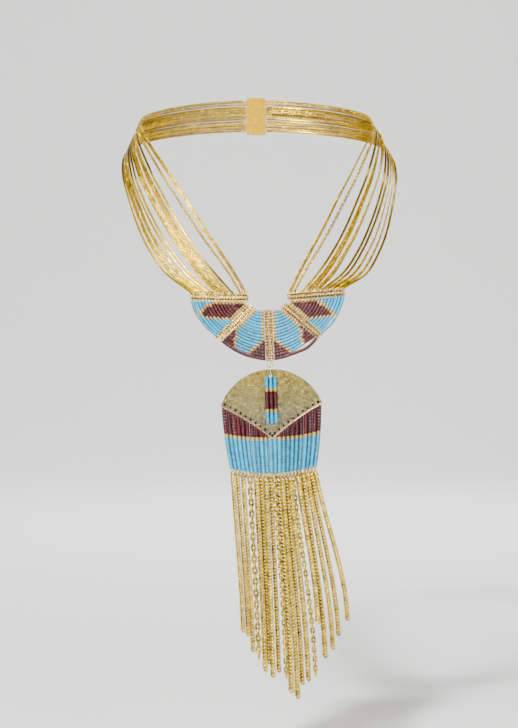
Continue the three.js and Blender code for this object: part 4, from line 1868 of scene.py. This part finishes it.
    def build_ornament(self) -> None:
        """Three columns of beads on the plate: turquoise, maroon and turquoise, cream between."""
        rng = np.random.default_rng(21)
        number = np.arange(self.ornament_count)
        kinds = np.where((number < 4) | (number > 11), TURQUOISE, MAROON)
        kinds[[4, 11]] = CREAM
        bead = turned_bead(self.seed_bead * 0.96, self.bead_pitch, 0.7, 0.8, 0.88)
        axes = np.tile(np.array([[0.0, 0, -1], [1, 0, 0], [0, -1, 0]]), (self.ornament_count, 1, 1))
        parts = []
        for column in (-1, 0, 1):
            centres = np.zeros((self.ornament_count, 3))
            centres[:, 0] = column * self.seed_bead + rng.normal(0, 0.03, self.ornament_count)
            centres[:, 1] = self.ornament_y
            centres[:, 2] = self.ornament_top - (number + 0.5) * self.bead_pitch
            tones = rng.uniform(0.5, 0.75, self.ornament_count)
            parts.append(repeated(bead, centres, axes, tones, kinds))
        surface = Surface.joined(parts)
        self._put("plate_beadwork", surface, BEAD_FINISHES, "plate_beads")

    def foot_height(self, x: np.ndarray) -> np.ndarray:
        """Height of the curtain's lower edge, a parabola that sags to the middle."""
        share = x / (self.curtain_foot / 2)
        return self.plate_centre - self.curtain_drop + self.curtain_sag * share**2

    def build_curtain(self) -> None:
        """Strands of seed beads: maroon under the plate, one cream bead, then turquoise.

        Each strand has whole beads above and below the line on which the cream beads lie. Its
        top is tucked behind the plate's edge, where it hangs on a dark thread, which also paints
        the shade in the gaps between the strands' tops.
        """
        rng = np.random.default_rng(31)
        bead = turned_bead(self.seed_bead, self.bead_pitch, 0.6, 0.8, 0.9)
        corner_x = np.sqrt(self.plate_radius**2 - self.corner_rise**2)
        parts = []
        for strand in range(self.strands):
            across = (strand + 0.5) / self.strands - 0.5
            top_x, foot_x = across * self.curtain_top, across * self.curtain_foot
            top_z = self.edge(np.array([top_x / corner_x]))[0, 1] + self.strand_rise
            foot_z = float(self.foot_height(np.array(foot_x)))
            t = np.linspace(0, 1, 60)
            sway = rng.uniform(-0.07, 0.07) * np.sin(np.pi * t) + rng.uniform(-0.02, 0.02)
            x = top_x + (foot_x - top_x) * t**self.curtain_taper + sway
            y = rng.uniform(-0.12, 0.12) * np.sin(np.pi * t)
            y = y + self.strand_tuck * np.clip(1 - t / 0.3, 0, 1) ** 2
            points = np.stack([x, y, top_z + (foot_z - top_z) * t], axis=1)
            route = Route(points, FRONT)
            upper = max(route.length - self.maroon_foot - self.bead_pitch / 2, 0.0)
            above = int(round(upper / self.bead_pitch))
            upper = upper if above else 0.0
            below = int(round((route.length - upper) / self.bead_pitch))
            places = np.concatenate(
                [
                    (np.arange(above) + 0.5) * upper / max(above, 1),
                    upper + (np.arange(below) + 0.5) * (route.length - upper) / below,
                ]
            )
            centres, axes = route.stations(places)
            travel = (places / route.length) ** self.curtain_taper
            room = self.curtain_top + (self.curtain_foot - self.curtain_top) * travel
            axes[:, 1] *= room[:, None] / self.strands / self.seed_bead
            number = np.arange(above + below)
            kinds = np.where(number < above, MAROON, np.where(number == above, CREAM, TURQUOISE))
            tones = rng.uniform(0.5, 0.75, len(places)) + rng.uniform(-0.15, 0.15)
            parts.append(repeated(bead, centres, axes, tones, kinds))
            # The dark hanging thread is also painted shade in the gaps between strands.
            rise = np.array([[0, 0, -0.6], [0, 0, 0.2], [0, 0, 0.6], [0, -0.05, 1.2]]) + points[0]
            thread = Route(smooth_line(rise, 6), np.array([1.0, 0.0, 0.0]))
            stretch = np.linspace(0, thread.length, 8)
            parts.append(swept_tube(thread, stretch, np.full(8, self.hanging_thread)))
            parts[-1].finishes[:] = len(BEAD_FINISHES)
        surface = Surface.joined(parts)
        finishes = [*BEAD_FINISHES, Finish.THREAD_AND_SHADE]
        self._put("curtain_beads", surface, finishes, "bead_curtain")

    def fringe_route(self, chain: FringeChain) -> Route:
        """The line of one chain of the fringe.

        The sideways travel is half a quarter sine and half a smooth step of the depth, so the
        chain leaves the carrier on a slant and hangs straight at its tip.

        Args:
            chain: The chain.

        Returns:
            The line in the pendant's frame.
        """
        top_x = chain.top * self.carrier_width / 2
        foot = float(self.foot_height(np.array(top_x)))
        top_z = foot - self.fringe_gap - self.carrier_height + self.fringe_overlap
        tip_z = self.plate_centre - self.curtain_drop - self.fringe_gap - self.carrier_height
        tip_z -= chain.drop * self.fringe_length
        t = np.linspace(0, 1, 80)
        ease = 0.5 * np.sin(t * np.pi / 2) + 0.5 * t**2 * (3 - 2 * t)
        x = top_x + ease * chain.lean * self.fringe_length
        y = np.full(80, chain.layer * self.layer_depth)
        points = np.stack([x, y, top_z + (tip_z - top_z) * t], axis=1)
        return Route(points, FRONT)

    def build_fringe(self) -> None:
        """Makes the carrier band of wide slanting links and the fringe's chains."""
        x = np.linspace(-0.5, 0.5, 60) * (self.carrier_width - self.carrier_inset)
        z = self.foot_height(x) - self.carrier_height / 2
        band = Route(upright(np.stack([x, z], axis=1)), FRONT)
        carrier = chain_surface(band, self.carrier_height, ChainKind.BRAID, 300)
        self._put("fringe_carrier", carrier, [Finish.ROSE_GOLD], "fringe")
        chains = [
            chain_surface(
                self.fringe_route(chain), chain.width * self.fullness, chain.kind, 301 + number
            )
            for number, chain in enumerate(self.fringe)
        ]
        surface = Surface.joined(chains)
        self._put("fringe_chains", surface, [Finish.PALE_GOLD], "fringe")

    def build(self) -> None:
        """Makes every piece of the pendant."""
        self.build_rings()
        self.build_plate()
        self.build_hole_shade()
        self.build_ornament()
        self.build_curtain()
        self.build_fringe()


@dataclass
class Clasp:
    """The plain clasp at the nape, which keeps its solid and gets a plating of its own.

    Attributes:
        node: Name of its solid.
    """

    node: str = "clasp"

    def build(self) -> None:
        """Plates the solid."""
        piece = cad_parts[self.node]
        piece.data.materials.clear()
        piece.data.materials.append(material_of(Finish.CLASP))
        log.info("%s plated", self.node)


# Studio


@dataclass
class Studio:
    """A pale round sweep, soft lights and the camera, in metres.

    Attributes:
        floor: Height of the floor.
        flat_radius: Radius of its flat part.
        bend: Radius of the bend up into the wall.
        wall: Height of the wall above the bend.
        sides: Steps round the sweep.
        eye: Where the camera stands.
        focal_px: Its focal length in pixels of the picture.
        frame_height_px: Height of the picture.
        target: What the lights face.
    """

    floor: float = -0.345
    flat_radius: float = 1.4
    bend: float = 1.2
    wall: float = 1.6
    sides: int = 64
    eye: tuple[float, float, float] = (0.0017, -0.787, -0.150)
    focal_px: float = 1300.0
    frame_height_px: float = 728.0
    target: tuple[float, float, float] = (0.006, -0.12, -0.16)

    def build_sweep(self) -> None:
        """A flat floor that bends up into a wall all round: an outline turned about Z.

        The innermost circle is closed by a face of its own.
        """
        bends = np.linspace(0, np.pi / 2, 12)
        radius = np.concatenate([[0.02], self.flat_radius + self.bend * np.sin(bends)])
        radius = np.append(radius, self.flat_radius + self.bend)
        height = np.concatenate([[0], self.bend * (1 - np.cos(bends))])
        height = np.append(height, self.bend + self.wall) + self.floor
        angle = np.arange(self.sides) / self.sides * 2 * np.pi
        points = [radius[:, None] * np.cos(angle), radius[:, None] * np.sin(angle)]
        points.append(height[:, None] + 0 * angle)
        points = np.stack(points, axis=-1).reshape(-1, 3)
        quads = wall_quads(len(radius), self.sides, False)
        mesh = bpy.data.meshes.new("studio_sweep")
        mesh.from_pydata(points.tolist(), [], quads.tolist() + [list(range(self.sides))])
        mesh.polygons.foreach_set("use_smooth", np.ones(len(mesh.polygons), bool))
        material, tree, shader = new_material("matt_pale_paper")
        set_inputs(tree, shader, {"Base Color": linear("F0EFED"), "Roughness": 0.9})
        mesh.materials.append(material)
        sweep = bpy.data.objects.new("studio_sweep", mesh)
        bpy.context.scene.collection.objects.link(sweep)

    def add_light(
        self,
        name: str,
        place: Sequence[float],
        size: float,
        watts: float,
        target: Sequence[float] | None = None,
    ) -> None:
        """Adds one soft square light that faces the necklace, unless it has another target.

        Args:
            name: Name of the light.
            place: Where it stands, in metres.
            size: Length of its sides.
            watts: Its power.
            target: What it faces, in metres.
        """
        data = bpy.data.lights.new(name, "AREA")
        data.size = size
        data.energy = watts
        light = bpy.data.objects.new(name, data)
        light.location = place
        aim = Vector(target or self.target) - Vector(place)
        light.rotation_euler = aim.to_track_quat("-Z", "Y").to_euler()
        light.visible_camera = False
        bpy.context.scene.collection.objects.link(light)

    def build_camera(self) -> None:
        """The camera looks level along +Y at the photograph's distance."""
        data = bpy.data.cameras.new("camera")
        data.sensor_width = 36
        data.lens = self.focal_px / self.frame_height_px * 36
        data.clip_start = 0.01
        camera = bpy.data.objects.new("camera", data)
        camera.location = self.eye
        camera.rotation_euler = (np.pi / 2, 0, 0)
        bpy.context.scene.collection.objects.link(camera)
        bpy.context.scene.camera = camera

    def build(self) -> None:
        """Sets up the camera, the sweep, the lights and a dim pale sky."""
        self.build_camera()
        self.build_sweep()
        self.add_light("key", (-0.4, -0.7, 0.75), 0.14, 27)
        self.add_light("front", (-0.12, -1.15, 0.08), 0.14, 4.5)
        self.add_light("fill", (0.9, -0.9, 0.1), 0.3, 2)
        self.add_light("top", (0.1, -0.1, 1.0), 0.2, 5)
        self.add_light("rear", (0.5, 1.0, 0.5), 0.5, 5)
        self.add_light("backdrop", (0.0, 0.7, 0.9), 1.0, 36, (0.0, 2.4, -0.1))
        world = bpy.data.worlds.new("sky")
        world.use_nodes = True
        sky = world.node_tree.nodes["Background"]
        set_inputs(world.node_tree, sky, {"Color": linear("E8ECF0"), "Strength": 0.1})
        bpy.context.scene.world = world


def main() -> None:
    """Builds the studio and the necklace, sub-assembly by sub-assembly."""
    logging.basicConfig(level=logging.INFO, format="%(name)s: %(message)s")
    Studio().build()
    Clasp().build()
    bib = Bib()
    pendant = Pendant()
    NeckChains(bib).build()
    bib.build(pendant.eye())
    pendant.build()


if __name__ == "__main__":
    main()
